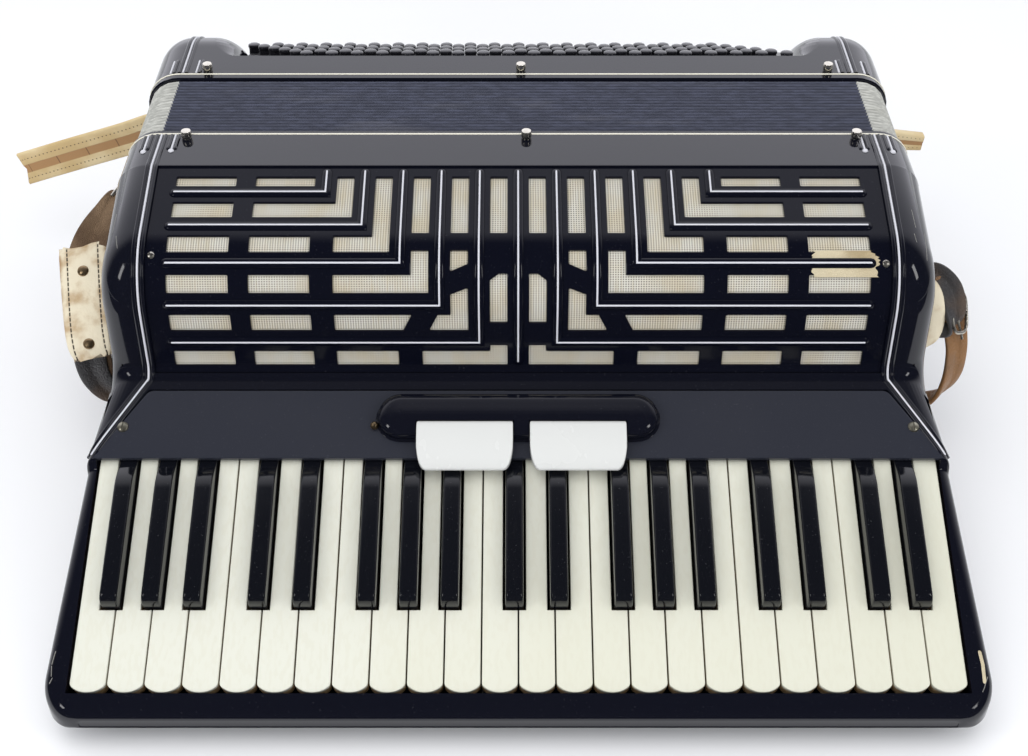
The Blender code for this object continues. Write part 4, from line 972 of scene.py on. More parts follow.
def build_cover():
    """The pierced cover: a bent sheet with a rounded rim round each cell."""
    cells = [soft_corners([(x * STRIP_PITCH, y) for x, y in cell]) for cell in grille_cells()]
    cells += [[(-x, y) for x, y in reversed(line)] for line in cells]
    marks = [v for v in stations(0.0, COVER_LENGTH, 0.002) if 0.001 < v < COVER_LENGTH - 0.001]
    wide = [shrink(cell, -CELL_RIM) for cell in cells]
    verts, faces = [], []
    for outlines, lift in ((wide, 0.0), (cells, -COVER_THICK)):
        points, triangles, origins = flat_sheet(outlines, marks)
        index = {}
        for triangle, inside_of in zip(triangles, origins):
            if any(0 < face <= len(cells) for face in inside_of):
                continue
            for i in triangle:
                if i not in index:
                    index[i] = len(verts)
                    verts.append(cover_place(*points[i], lift))
            corners = tuple(index[i] for i in triangle)
            faces.append(corners if lift == 0.0 else corners[::-1])
    cover = mesh_piece("grille_cover_sheet", verts, faces, COVER_BLACK)
    # Walls of the cells and of the outer edge
    rim = ((-CELL_RIM, 0.0), (-CELL_RIM * 0.3, -CELL_RIM * 0.3), (0.0, -CELL_RIM), (0.0, -COVER_THICK))
    edge = ((0.0, 0.0), (0.0, -COVER_THICK))
    verts, faces = [], []
    for outline, levels in [(cell, rim) for cell in cells] + [(COVER_CORNERS, edge)]:
        rings = []
        for inset, lift in levels:
            line = shrink(outline, inset) if inset else outline
            rings.append([cover_place(x, v, lift) for x, v in resample(line, outline, marks)])
        part_verts, part_faces = loft(rings, True, False, len(verts))
        verts += part_verts
        faces += part_faces
    join_cover(cover, mesh_piece("cell_walls", verts, faces, COVER_BLACK))


def resample(line, guide, marks):
    """Points along the closed line, with extra ones where its guide crosses the marks."""
    result = []
    for i, here in enumerate(line):
        follows = (i + 1) % len(line)
        a, b, start, run = Vector(here), Vector(line[follows]), guide[i][1], guide[follows][1] - guide[i][1]
        result.append(tuple(a))
        if abs(run) > 1e-6:
            shares = sorted((v - start) / run for v in marks)
            result += [tuple(a.lerp(b, u)) for u in shares if 0.002 < u < 0.998]
    return result


def join_cover(cover, walls):
    """Welds the sheet and its cell walls, with the path's exact normals on the sheet's faces."""
    mesh = cover.data
    bm = bmesh.new()
    bm.from_mesh(mesh)
    bm.from_mesh(walls.data)
    bmesh.ops.remove_doubles(bm, verts=bm.verts, dist=2e-6)
    bmesh.ops.recalc_face_normals(bm, faces=bm.faces)
    bm.to_mesh(mesh)
    bm.free()
    bpy.data.objects.remove(walls)
    table = [front_path(v, -COVER_SUNK, True) for v in spread(0.0, BASE_END + 0.05, 1200)]
    fine = []
    for poly in mesh.polygons:
        poly.use_smooth = True
        for index in poly.loop_indices:
            normal = cover_normal(mesh.vertices[mesh.loops[index].vertex_index].co, table)
            sign = 1 if normal.dot(poly.normal) > 0 else -1
            fine.append(tuple(normal * sign) if abs(normal.dot(poly.normal)) > 0.93 else tuple(poly.normal))
    mesh.normals_split_custom_set(fine)
    keep(cover, "treble", "gloss_black", ("grille_cover",))


def cover_normal(co, table):
    """The path's outward direction nearest to a point of the cover; table is (t, Z, angle) along the path."""
    t, z = JOINT_Y - co.y, co.z
    angle = min(table, key=lambda row: (row[0] - t) ** 2 + (row[1] - z) ** 2)[2]
    return Vector((0, -math.sin(angle), math.cos(angle)))


def refine(path, step):
    """The (x, v) path with points at most step apart."""
    result = []
    for a, b in zip(path, path[1:]):
        a, b = Vector(a), Vector(b)
        count = max(1, math.ceil((b - a).length / step))
        result += [tuple(a.lerp(b, k / count)) for k in range(count)]
    return result + [tuple(path[-1])]


def ridge(path, profile, place, step=0.002, round_ends=(True, True)):
    """Points and faces of a raised line along an (x, v) path; profile is (offset across, lift)."""
    line = refine(path, step)
    rings = []
    last = len(line) - 1
    for i, here in enumerate(line):
        before, after = Vector(line[max(i - 1, 0)]), Vector(line[min(i + 1, last)])
        here = Vector(here)
        a = (here - before).normalized() if i else (after - here).normalized()
        b = (after - here).normalized() if i < last else a
        side = Vector((-a.y, a.x)) + Vector((-b.y, b.x))
        side = side / max(0.3, 1 + a.dot(b))
        rings.append([place(*(here + side * off), lift) for off, lift in profile])
    width, base = max(off for off, _ in profile), min(lift for _, lift in profile)
    for end, beside, direction in ((0, 1, -1), (last, last - 1, 1)):
        if not round_ends[direction > 0]:
            continue
        here = Vector(line[end])
        along = (here - Vector(line[beside])).normalized()
        side = Vector((-along.y, along.x)) * direction
        cap = []
        for turn in (0.35, 0.7, 1.0):
            reach, share = math.sin(turn * math.pi / 2), max(0.02, math.cos(turn * math.pi / 2))
            cap.append([place(*(here + along * width * reach + side * off * share), base + (lift - base) * share)
                        for off, lift in profile])
        rings = rings + cap if direction > 0 else cap[::-1] + rings
    return loft(rings)


def half_round(half, low, high, steps=8):
    """Profile of a raised line: from one side over its crown to the other, and closed under it."""
    return [(half * math.cos(turn), low + (high - low) * math.sin(turn) ** 0.8) for turn in spread(0.0, math.pi, steps)]


INLAY = half_round(0.00070, -0.0003, 0.0008, 6)
SIDE_BEAD = half_round(0.0012, -0.0006, 0.0009, 8)


def strip_paths():
    """(x, v) lines of the inlaid strips."""
    lines = [[(0.0, 0.004), (0.0, CENTRE_STRIP_END)]]
    for side in (1, -1):
        for strip in range(1, 6):
            x, corner = side * strip * STRIP_PITCH, row_place(6 - strip)
            lines.append([(x, 0.004), (x, corner), (side * STRIP_END * STRIP_PITCH, corner)])
    return lines


def joined(name, shapes, mats, body, slot, angle=40):
    """One piece made of several closed shapes."""
    verts, faces = [], []
    for part_verts, part_faces in shapes:
        base = len(verts)
        verts += part_verts
        faces += [tuple(i + base for i in face) for face in part_faces]
    return keep(solid(name, (verts, faces), mats, angle, False), body, slot)


def build_strips():
    bead = half_round(BEAD_HALF, -0.0002, BEAD_HEIGHT, 12)
    line = half_round(0.00062, BEAD_HEIGHT - 0.0005, BEAD_HEIGHT + 0.0004, 6)
    for name, profile, mat, slot in (("grille_beads", bead, COVER_BLACK, "gloss_black"),
                                     ("grille_inlays", line, CHROME, "steel")):
        joined(name, [ridge(path, profile, cover_place) for path in strip_paths()], mat, "treble", slot, 70)


def build_cloth():
    lift = -COVER_THICK - 0.0005
    half = COVER_HALF - LEDGE - GAP
    marks = stations(LEDGE + GAP, COVER_LENGTH - LEDGE - GAP, 0.002)
    xs = spread(-half, half, 40)
    wide = len(xs)
    verts = [cover_place(x, v, lift) for v in marks for x in xs]
    faces = [(a, a + wide, a + wide + 1, a + 1) for a in range(len(verts) - wide) if a % wide < wide - 1]
    cloth = mesh_piece("grille_cloth_weave", verts, faces, CLOTH)
    unwrap(cloth, lambda point: (xs[point % wide], marks[point // wide]))
    keep(cloth, "treble", "grille_cloth", ("grille_cloth",))
    column = [Vector(cover_place(0, v, lift)) for v in marks]


# Skin of the treble side, for the stripes on it

def front_at(u):
    """(t, Z, angle) on the whole front line, u along it from the joint; it follows the keys' cheeks too."""
    if u < STRIP_LENGTH:
        return u, BODY_DEPTH, 0.0
    return front_path(u - STRIP_LENGTH, 0.0, True)


def on_skin(place, inner, half, radius, lift):
    """A point over a front line whose side edges are rounded; inner is the line's inward direction."""
    place, inner = Vector(place), Vector(inner)
    beyond = abs(place.x) - (half - radius)
    turn = math.asin(min(0.98, beyond / radius)) if beyond > 0 else 0.0
    normal = Vector((math.copysign(math.sin(turn), place.x), 0, 0)) - inner * math.cos(turn)
    return tuple(place + inner * (radius * (1 - math.cos(turn))) + normal * lift)


def skin_place(x, u, lift):
    t, z, angle = front_at(u)
    inner = (0, math.sin(angle), -math.cos(angle))
    return on_skin((x, JOINT_Y - t, z), inner, body_half(t), edge_radius(t), lift)


def along_skin(path, profile, place, aside=0.0):
    """A raised line along a path on the skin, moved aside, with its far end rounded."""
    return ridge([(x + aside, u) for x, u in path], profile, place, 0.002, (False, True))


def build_side_stripes():
    """The bright line down both sides of the grille between two black beads, and the short ones by the bellows."""
    end_u = STRIP_LENGTH + COVER_LENGTH + 0.004
    panel_u = STRIP_LENGTH + BASE_END + (KEY_REACH - front_path(BASE_END)[0]) / math.cos(KEY_TILT) - 0.001
    lines, tubes, dots = [], [], []
    for side in (1, -1):
        x = side * STRIPE_X
        path = [(x, STRIPE_START), (x, end_u), (side * 0.2415, panel_u)]
        lines.append(along_skin(path, INLAY, skin_place))
        tubes += [along_skin(path, SIDE_BEAD, skin_place, aside) for aside in (-0.0026, 0.0026)]
        for off in SHORT_STRIPES:
            near = x + side * off
            lines.append(along_skin([(near, STRIPE_START), (near, 0.0175)], INLAY, skin_place))
            beside = [(near, STRIPE_START), (near, 0.0160)]
            tubes += [along_skin(beside, SIDE_BEAD, skin_place, aside) for aside in (-0.0022, 0.0022)]
            dots.append(dome(skin_place(near, 0.0185, 0.0002), (0, 0, 1), 0.0017, 0.0011))
    joined("side_inlays", lines + dots, CHROME, "treble", "steel", 70)
    joined("side_beads", tubes, BLACK, "treble", "gloss_black", 70)


def frame_of(direction):
    axis = Vector(direction).normalized()
    side = axis.orthogonal().normalized()
    return axis, side, axis.cross(side)


def turned(origin, direction, profile, sides=20):
    """A turned solid: profile is (radius, height) along direction from origin."""
    axis, a, b = frame_of(direction)
    turns = [math.tau * i / sides for i in range(sides)]
    round_it = [a * math.cos(turn) + b * math.sin(turn) for turn in turns]
    return loft([[Vector(origin) + axis * height + out * max(radius, 1e-5) for out in round_it]
                 for radius, height in profile])


def dome(origin, direction, radius, height, sides=16):
    profile = [(radius, -0.0004)]
    profile += [(radius * math.cos(turn), height * math.sin(turn)) for turn in spread(0.0, math.pi / 2 * 0.94, 5)]
    return turned(origin, direction, profile, sides)


def screw(origin, direction, radius, slot_angle):
    """A domed screw head with a slot cut across it."""
    axis, a, b = frame_of(direction)
    along = a * math.cos(slot_angle) + b * math.sin(slot_angle)
    across = axis.cross(along)
    head = solid("head", dome(origin, direction, radius, radius * 0.4, 28), BRASS)
    middle = Vector(origin) + axis * radius * 0.42
    corners = ((-1, -1), (1, -1), (1, 1), (-1, 1))
    cut(head, loft([[middle + (along * l * 1.3 + across * w * 0.13 + axis * h * 0.22) * radius for l, h in corners]
                    for w in (-1, 1)]))
    verts = [v.co.copy() for v in head.data.vertices]
    faces = [tuple(p.vertices) for p in head.data.polygons]
    bpy.data.objects.remove(head)
    return verts, faces


def build_fastenings():
    up = (0, -math.sin(KEY_TILT), math.cos(KEY_TILT))
    panel_screws = [screw(key_point(side * 0.2255, -0.0195, PANEL_RISE), up, 0.0033, 0.7) for side in (-1, 1)]
    joined("panel_screws", panel_screws, BRASS, "treble", "steel", 35)
    grille = []
    for side, v in ((-1, 0.0640), (1, 0.0690)):
        t, z, angle = front_path(v, -COVER_SUNK, True)
        normal = (0, -math.sin(angle), math.cos(angle))
        grille.append(screw((side * 0.2075, JOINT_Y - t, z), normal, 0.0022, 1.1))
    joined("grille_screws", grille, NICKEL, "treble", "steel", 35)
    head = ((0.0026, -0.004), (0.0026, 0.0004), (0.0030, 0.0008), (0.0032, 0.0018), (0.0032, 0.0042),
            (0.0028, 0.0049), (0.0, 0.0052))
    for body, y, xs in (("treble", JOINT_Y - 0.0035, (-0.199, 0.005, 0.203)),
                        ("bass", BASS_Y + 0.0040, (-0.199, 0.002, 0.199))):
        pins = [turned((x, y, BODY_DEPTH), (0, 0, 1), head, 24) for x in xs]
        joined(f"{body}_pins", pins, NICKEL, body, "steel", 40)


# Register switches

def stadium(length, width, steps=14):
    radius, reach = width / 2, length / 2 - width / 2
    outline = []
    for side in (1, -1):
        for i in range(steps + 1):
            angle = -math.pi / 2 + math.pi * i / steps
            outline.append((side * (reach + radius * math.cos(angle)), side * radius * math.sin(angle)))
    return outline


def build_register():
    base = PANEL_RISE + GAP

    def place(x, y, h):
        return key_point(x, -BAR_BACK - y, h)

    levels = [(-0.0012, -0.0002), (-0.0012, 0.0003), (-0.0004, 0.0008), (0.0, 0.0012), (0.0, 0.0040)]
    levels += [(0.0060 * (1 - math.cos(a)), 0.0040 + 0.0042 * math.sin(a)) for a in spread(0.15, 1.45, 9)]
    levels += [(0.0075, 0.00825), (0.0100, 0.0084), (0.0125, 0.0085)]
    levels = [(inset, base + h) for inset, h in levels]
    bar = solid("register_bar_body", slab(stadium(BAR_LENGTH, BAR_WIDTH), levels, place), BLACK)
    half, back = TAB_WIDTH / 2 + 0.0006, -TAB_BACK - 0.0006
    for middle in TAB_CENTRES:
        low, high = middle - half, middle + half
        ring = [(low, back), (high, back), (high, 0.01), (low, 0.01)]
        cut(bar, loft([[key_point(x, s, h) for x, s in ring] for h in (base + 0.0016, base + 0.03)]))
    sharpen(bar, 40)
    keep(bar, "treble", "gloss_black", ("register_bar",))
    for name, middle in zip(("left", "right"), TAB_CENTRES):
        build_tab(name, middle, base + 0.0022)


def build_tab(name, middle, low):
    # Place along the key, heights of its underside and top over low, and how much narrower it is
    profile = (
        (-TAB_BACK, 0.0010, 0.0060, 0.0006), (-TAB_BACK + 0.0004, 0.0006, 0.0067, 0.0002),
        (-TAB_BACK + 0.0018, 0.0002, 0.0076, 0.0), (-TAB_BACK + 0.004, 0.0, 0.0079, 0.0),
        (-0.008, 0.0003, 0.0074, 0.0), (-0.003, 0.0006, 0.0068, 0.0001), (0.001, 0.0008, 0.0060, 0.0006),
        (0.0040, 0.0008, 0.0053, 0.0013), (0.0065, 0.0008, 0.0044, 0.0022), (0.0085, 0.0010, 0.0035, 0.0036),
        (TAB_FRONT, 0.0014, 0.0026, 0.0052),
    )
    rings = []
    for s, under, over, draw in profile:
        half, edge = TAB_WIDTH / 2 - draw, min(0.0007, (over - under) * 0.3)
        side = [(half, under), (half, over - edge), (half - edge * 0.3, over - edge * 0.3), (half - edge, over)]
        ring = [(-half, under)] + side + [(-x, h) for x, h in side[:0:-1]]
        rings.append([key_point(middle + x, s, low + h) for x, h in ring])
    tab = solid(f"register_tab_{name}_cap", loft(rings), WHITE, 60)
    keep(tab, f"register_{name}", "white_tab", (f"register_tab_{name}",))


# Bellows and their frames

def rounded_box(half, low, high, front_corner, back_corner, steps, mark=None):
    """Outline in (X, Z), from the lower right corner round by the front, with points at X = mark and -mark too."""
    corners = (
        (half - back_corner, low + back_corner, back_corner, -90),
        (half - front_corner, high - front_corner, front_corner, 0),
        (-half + front_corner, high - front_corner, front_corner, 90),
        (-half + back_corner, low + back_corner, back_corner, 180),
    )
    extra = {1: [(mark, high), (-mark, high)], 3: [(-mark, low), (mark, low)]} if mark else {}
    outline = []
    for number, (x, z, radius, start) in enumerate(corners):
        for i in range(steps + 1):
            angle = math.radians(start + 90 * i / steps)
            outline.append((x + radius * math.cos(angle), z + radius * math.sin(angle)))
        outline += extra.get(number, [])
    return outline


def build_frames():
    """Both bellows frames, each with a cream binding round the edge that touches its casing."""

    def outer(grow, y):
        outline = rounded_box(BODY_HALF - 0.0002 + grow, -grow, BODY_DEPTH + grow - 0.0001, 0.0215, BACK_EDGE, 8)
        return [(x, y, z) for x, z in outline]

    def inner(y):
        outline = rounded_box(BODY_HALF - FRAME_WIDTH, FRAME_WIDTH, BODY_DEPTH - FRAME_WIDTH, 0.006, 0.006, 8)
        return [(x, y, z) for x, z in outline]

    edge = 0.0008
    for body in ("treble", "bass"):
        name = f"{body}_bellows_frame"
        (_, start, _), (_, end, _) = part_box(name)
        ring = [outer(-edge, start), outer(0.0, start + edge), outer(0.0, end - edge), outer(-edge, end)]
        ring = solid(f"{name}_ring", hoop(ring + [inner(end), inner(start)]), BLACK, 40)
        keep(ring, body, "gloss_black", (name,))
        low, high = (start - 0.0002, start + 0.0012) if body == "treble" else (end - 0.0012, end + 0.0002)
        tape = ((-0.0012, low), (0.0002, low), (0.0004, (low + high) / 2), (0.0002, high), (-0.0012, high))
        tape = solid(f"{name}_binding", hoop([outer(*place) for place in tape]), BINDING, 50)
        keep(tape, body, "gloss_black")


def build_bellows():
    (_, start, low), (_, end, high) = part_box("bellows")
    high += 0.0012
    half = BODY_HALF - 0.0022
    depth, pitch = FOLD_DEPTH, (end - start) / FOLDS

    def ring(inset, y):
        front, back = max(0.006, 0.020 - inset * 0.6), max(0.002, 0.006 - inset * 0.2)
        mark = min(BELLOWS_BAND_X, half - inset - front - 0.0004)
        outline = rounded_box(half - inset, low + inset, high - inset, front, back, 5, mark)
        return [(x, y, z) for x, z in outline]

    folds = []
    for fold in range(FOLDS):
        y = start + pitch * fold
        folds.append((depth if fold else depth * 0.5, y))
        folds += [(depth * 0.10, y + pitch * 0.22), (0.0005, y + pitch * 0.36), (0.0, y + pitch * 0.5),
                  (0.0005, y + pitch * 0.64), (depth * 0.10, y + pitch * 0.78)]
    folds.append((depth * 0.5, end))
    verts, faces = hoop([ring(inset, y) for inset, y in folds] + [ring(inset + 0.0032, y) for inset, y in folds[::-1]])
    materials = []
    for face in faces:
        middle = sum((Vector(verts[i]) for i in face), Vector()) / len(face)
        by_corner = abs(middle.x) > BELLOWS_BAND_X - 0.0001 and (middle.z > high - 0.026 or middle.z < low + 0.020)
        materials.append(1 if by_corner else 0)
    piece = solid("bellows_folds", (verts, faces), [BELLOWS, CREAM_CLOTH], 50, False, materials)
    points = piece.data.vertices
    unwrap(piece, lambda point: (points[point].co.x, (points[point].co.y - start) / pitch))
    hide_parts("bellows")
    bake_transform(piece)


# The bass side

def bass_top(b):
    over = min(max(0.0, b - (BASS_LENGTH - ROLL)), ROLL)
    return BODY_DEPTH - ROLL + math.sqrt(ROLL * ROLL - over * over)


def board_line(b, drop=0.0):
    top = BODY_DEPTH - BOARD_DROP - (b - RECESS_START) * math.tan(BOARD_SLOPE)
    return top - drop / math.cos(BOARD_SLOPE)


def scoop_section(b, steps=12):
    share = min(max(0.0, (b - RECESS_START) / SCOOP_RUN), 1.0)
    wide = max(0.001, SCOOP_WIDTH * math.sqrt(1 - (1 - share) ** 2))
    top = bass_top(b)
    board = min(board_line(b), top - 0.001)
    high = (top - board) * SCOOP_SHARE
    inner = RECESS_HALF - 0.001
    section = [(inner, top + 0.02), (inner, board)]
    for angle in spread(0.0, math.radians(84), steps):
        section.append((RECESS_HALF + wide * (1 - math.cos(angle)), top - high * (1 - math.sin(angle))))
    section.append((section[-1][0] + 0.005, top + 0.0006))
    section.append((section[-1][0], top + 0.02))
    return section


def build_bass_casing():
    line = [(b, BODY_DEPTH, 0.0, -1.0) for b in spread(0.0, BASS_LENGTH - ROLL - 0.002, 4)]
    for angle in spread(0.0, math.pi / 2, 24):
        sin, cos = math.sin(angle), math.cos(angle)
        line.append((BASS_LENGTH - ROLL + ROLL * sin, BODY_DEPTH - ROLL + ROLL * cos, -sin, -cos))
    line.append((BASS_LENGTH, SHOULDER + 0.004, -1.0, 0.0))
    top = [(BASS_Y + b, z, BASS_HALF, SHOULDER, in_y, in_z) for b, z, in_y, in_z in line]
    under = [(min(point[0], BASS_END_Y - BACK_EDGE) - 0.0002 * (len(top) - 1 - i), 0.0, BASS_HALF, BACK_EDGE, 0.0, 1.0)
             for i, point in enumerate(top)]
    under[0] = (BASS_Y, *under[0][1:])
    out, start, drop = BASS_LENGTH + CUT_OUT, RECESS_START, BOARD_THICK + GAP
    front = BODY_DEPTH + CUT_OUT
    outline = [(start, board_line(start, drop)), (start, front), (out, front), (out, board_line(out, drop))]
    cutters = [prism([(BASS_Y + b, z) for b, z in outline], -RECESS_HALF, RECESS_HALF)]
    shares = (0.0, 0.01, 0.03, 0.06, 0.1, 0.16, 0.24, 0.34, 0.46, 0.6, 0.78, 1.0)
    places = [mix(start, start + SCOOP_RUN, share) for share in shares] + [BASS_LENGTH * 0.8, BASS_LENGTH * 0.92, out]
    for side in (-1, 1):
        cutters.append(loft([[(side * x, BASS_Y + b, z) for x, z in scoop_section(b)] for b in places]))
    carve("bass_casing_shell", pillow(top, under, 14), cutters, "bass", "bass_casing")


def bass_skin(x, u, lift):
    """A point on the bass casing's front and its rolled edge, u along it from the bellows."""
    angle = max(0.0, u - (BASS_LENGTH - ROLL)) / ROLL
    sin, cos = math.sin(angle), math.cos(angle)
    b, z = (u, BODY_DEPTH) if angle <= 0 else (BASS_LENGTH - ROLL + ROLL * sin, BODY_DEPTH - ROLL + ROLL * cos)
    return on_skin((x, BASS_Y + b, z), (0, -sin, -cos), BASS_HALF, SHOULDER, lift)


def build_bass_stripes():
    """The three bright lines at both ends of the bass side: a long one over the hump and two short ones."""
    lines, tubes = [], []
    for side in (1, -1):
        x = side * STRIPE_X
        path = [(x, STRIPE_START), (x, 0.095)]
        lines.append(along_skin(path, INLAY, bass_skin))
        tubes += [along_skin(path, SIDE_BEAD, bass_skin, aside) for aside in (-0.0024, 0.0024)]
        for off in SHORT_STRIPES:
            near = x + side * off
            lines.append(along_skin([(near, STRIPE_START), (near, 0.0160)], INLAY, bass_skin))
            tubes.append(along_skin([(near, STRIPE_START), (near, 0.0165)], SIDE_BEAD, bass_skin, 0.0022))
    joined("bass_inlays", lines, CHROME, "bass", "steel", 70)
    joined("bass_beads", tubes, BLACK, "bass", "gloss_black", 70)


def build_buttons():
    start, end = RECESS_START + GAP, BASS_LENGTH - 0.001
    half = RECESS_HALF - GAP

    def plate(b):
        return PLATE_HIGH - (b - FIRST_BUTTONS) * PLATE_FALL

    outline = [(start, plate(start)), (start, board_line(start, BOARD_THICK)), (end, board_line(end, BOARD_THICK)),
               (end, plate(end) - 0.003), (end - 0.001, plate(end) - 0.001), (end - 0.003, plate(end - 0.003))]
    board = prism([(BASS_Y + b, z) for b, z in outline], -half, half)
    board = solid("button_board_plate", board, BOARD_BLACK, 30)
    keep(board, "bass", "button_black", ("bass_button_board",))
    lean = Vector((0, math.sin(BUTTON_LEAN), math.cos(BUTTON_LEAN)))
    # Radius and height of the turned button, as shares of its size
    form = ((0.90, 0.60), (0.98, 0.63), (1.0, 0.68), (1.0, 0.84), (0.96, 0.90), (0.84, 0.95), (0.6, 0.985),
            (0.3, 1.0), (0.0, 1.005))
    profile = [(BUTTON_RADIUS * 0.90, -0.002)] + [(BUTTON_RADIUS * wide, BUTTON_HEIGHT * high) for wide, high in form]
    buttons = []
    for row in range(BUTTON_ROWS):
        b = FIRST_BUTTONS + row * ROW_STEP
        shift = ((BUTTON_ROWS - 1) / 2 - row) * ROW_SHIFT - 0.0025
        for column in range(BUTTON_COLUMNS):
            x = (column - (BUTTON_COLUMNS - 1) / 2) * BUTTON_PITCH + shift
            buttons.append(turned((x, BASS_Y + b, plate(b)), lean, profile, 20))
    joined("bass_buttons", buttons, BUTTON_BLACK, "bass", "button_black", 50)


def build_air_button():
    (x0, base, z0), (x1, out, z1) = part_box("air_button")
    base -= out
    profile = [(0.0084, base), (0.0084, base + 0.002), (0.0064, base + 0.0021), (0.0064, -0.0018),
               (0.0061, -0.0009), (0.0052, -0.0003), (0.0034, 0.0), (0.0, 0.0)]
    middle = ((x0 + x1) / 2, out, (z0 + z1) / 2)
    cap = solid("air_button_cap", turned(middle, (0, 1, 0), profile, 32), BUTTON_BLACK, 40)
    keep(cap, "air_button_body", "button_black", ("air_button",))


# Straps

def curve_through(points, steps):
    line = []
    last = len(points) - 1
    for i in range(last):
        p0, p1 = Vector(points[max(i - 1, 0)]), Vector(points[i])
        p2, p3 = Vector(points[i + 1]), Vector(points[min(i + 2, last)])
        for k in range(steps):
            u = k / steps
            line.append(0.5 * (2 * p1 + (p2 - p0) * u + (2 * p0 - 5 * p1 + 4 * p2 - p3) * u * u
                               + (3 * p1 - p0 - 3 * p2 + p3) * u * u * u))
    line.append(Vector(points[-1]))
    return line


def ribbon(stations_in, across, section, steps=8):
    """Rings of a band. Its stations are (X, Y, Z, width, thickness), its section shares of width and thickness."""
    line = curve_through(stations_in, steps)
    rings, runs, run = [], [], 0.0
    for i, here in enumerate(line):
        before, after = line[max(i - 1, 0)], line[min(i + 1, len(line) - 1)]
        along = (Vector(after[:3]) - Vector(before[:3])).normalized()
        side = (Vector(across) - along * along.dot(Vector(across))).normalized()
        face = along.cross(side)
        middle = Vector(here[:3])
        if i:
            run += (middle - Vector(line[i - 1][:3])).length
        runs.append(run)
        rings.append([middle + side * (a * here[3] / 2) + face * (b * here[4] / 2) for a, b in section])
    return rings, runs


# Across a flat strap, with a shallow groove along one face and a flat channel along the other
FLAT_SECTION = (
    (-1, -0.4), (-0.96, -0.9), (-0.85, -1), (-0.3, -1), (0, -0.86), (0.3, -1), (0.85, -1), (0.96, -0.9), (1, -0.4),
    (1, 0.4), (0.96, 0.9), (0.85, 1), (0.3, 1), (0.24, 0.7), (-0.24, 0.7), (-0.3, 1), (-0.85, 1), (-0.96, 0.9),
    (-1, 0.4),
)


def build_bass_strap():
    face = BASS_END_Y + GAP + 0.00175
    bow = BASS_END_Y + 0.034 + 0.00175
    beside = mix(face, bow, 0.80)
    route = (
        (0.295, face + 0.004, 0.0905), (0.262, face + 0.002, 0.094), (0.212, face, 0.099), (0.130, beside, 0.103),
        (0.0, bow, 0.106), (-0.130, beside, 0.110), (-0.212, face, 0.114), (-0.255, face + 0.001, 0.1045),
        (-0.284, face + 0.001, 0.0945), (-0.325, face + 0.001, 0.0815), (-0.3665, face + 0.001, 0.0680),
    )
    sizes = [(0.012, 0.0070), (0.017, 0.0050)] + [(0.026, 0.0034)] * 9
    rings, runs = ribbon([place + size for place, size in zip(route, sizes)], (0, 0, 1), FLAT_SECTION, 10)
    rng = random.Random(5)
    for step, ring in enumerate(rings[-4:]):
        for spot, (across, _) in enumerate(FLAT_SECTION):
            bite = 0.0045 * (1 - abs(across)) + 0.0035 * max(0.0, across) + rng.uniform(0.0, 0.0007)
            ring[spot] = ring[spot] + Vector((bite * step / 3, 0, bite * step / 3 * 0.3))
    strap = solid("bass_hand_strap", loft(rings), STRAP, 60, False)
    count = len(FLAT_SECTION)
    unwrap(strap, lambda point: (runs[point // count], FLAT_SECTION[point % count][0] * 0.013))
    keep(strap, "bass", "cream_leather", ("bass_strap",))


def round_section(flat=0.5, count=28):
    """A rounded oblong section, (share across, share of thickness)."""
    section = []
    for i in range(count):
        a = math.tau * i / count
        across, up = math.cos(a), math.sin(a)
        section.append((math.copysign(abs(across) ** flat, across), math.copysign(abs(up) ** flat, up)))
    return section


def band(name, route, section, mat, slot, across=(1, 0, 0), ragged=0.0, stands_for=()):
    """A leather band on the treble body, with its run and its place across in its UVs, and torn ends."""
    rings, runs = ribbon(route, across, section, 10)
    rng = random.Random(len(name))
    if ragged:
        for end, beside in ((0, 1), (-1, -2)):
            along = (rings[end][0] - rings[beside][0]).normalized()
            rings[end] = [p + along * rng.uniform(-0.3, 1.0) * ragged for p in rings[end]]
    obj = solid(name, loft(rings), mat, 65, False)
    count = len(section)
    widths = [(ring[0] - ring[count // 2]).length for ring in rings]
    unwrap(obj, lambda point: (runs[point // count], section[point % count][0] * widths[point // count] / 2))
    keep(obj, "treble", slot, stands_for)
    return obj, rings


def wire(name, points, radius, mat, closed=True, sides=10):
    """A bent wire through the points."""
    points = [Vector(p) for p in points]
    count = len(points)
    rings = []
    for i, here in enumerate(points):
        before = points[i - 1] if closed or i else here
        after = points[(i + 1) % count] if closed or i < count - 1 else here
        axis = (after - before).normalized()
        a = Vector((0.31, 0.2, 0.93)).cross(axis).normalized()
        b = axis.cross(a)
        turns = [math.tau * k / sides for k in range(sides)]
        rings.append([here + (a * math.cos(turn) + b * math.sin(turn)) * radius for turn in turns])
    if closed:
        rings.append(rings[0])
    joined(name, [loft(rings, True, not closed)], mat, "treble", "steel", 60)


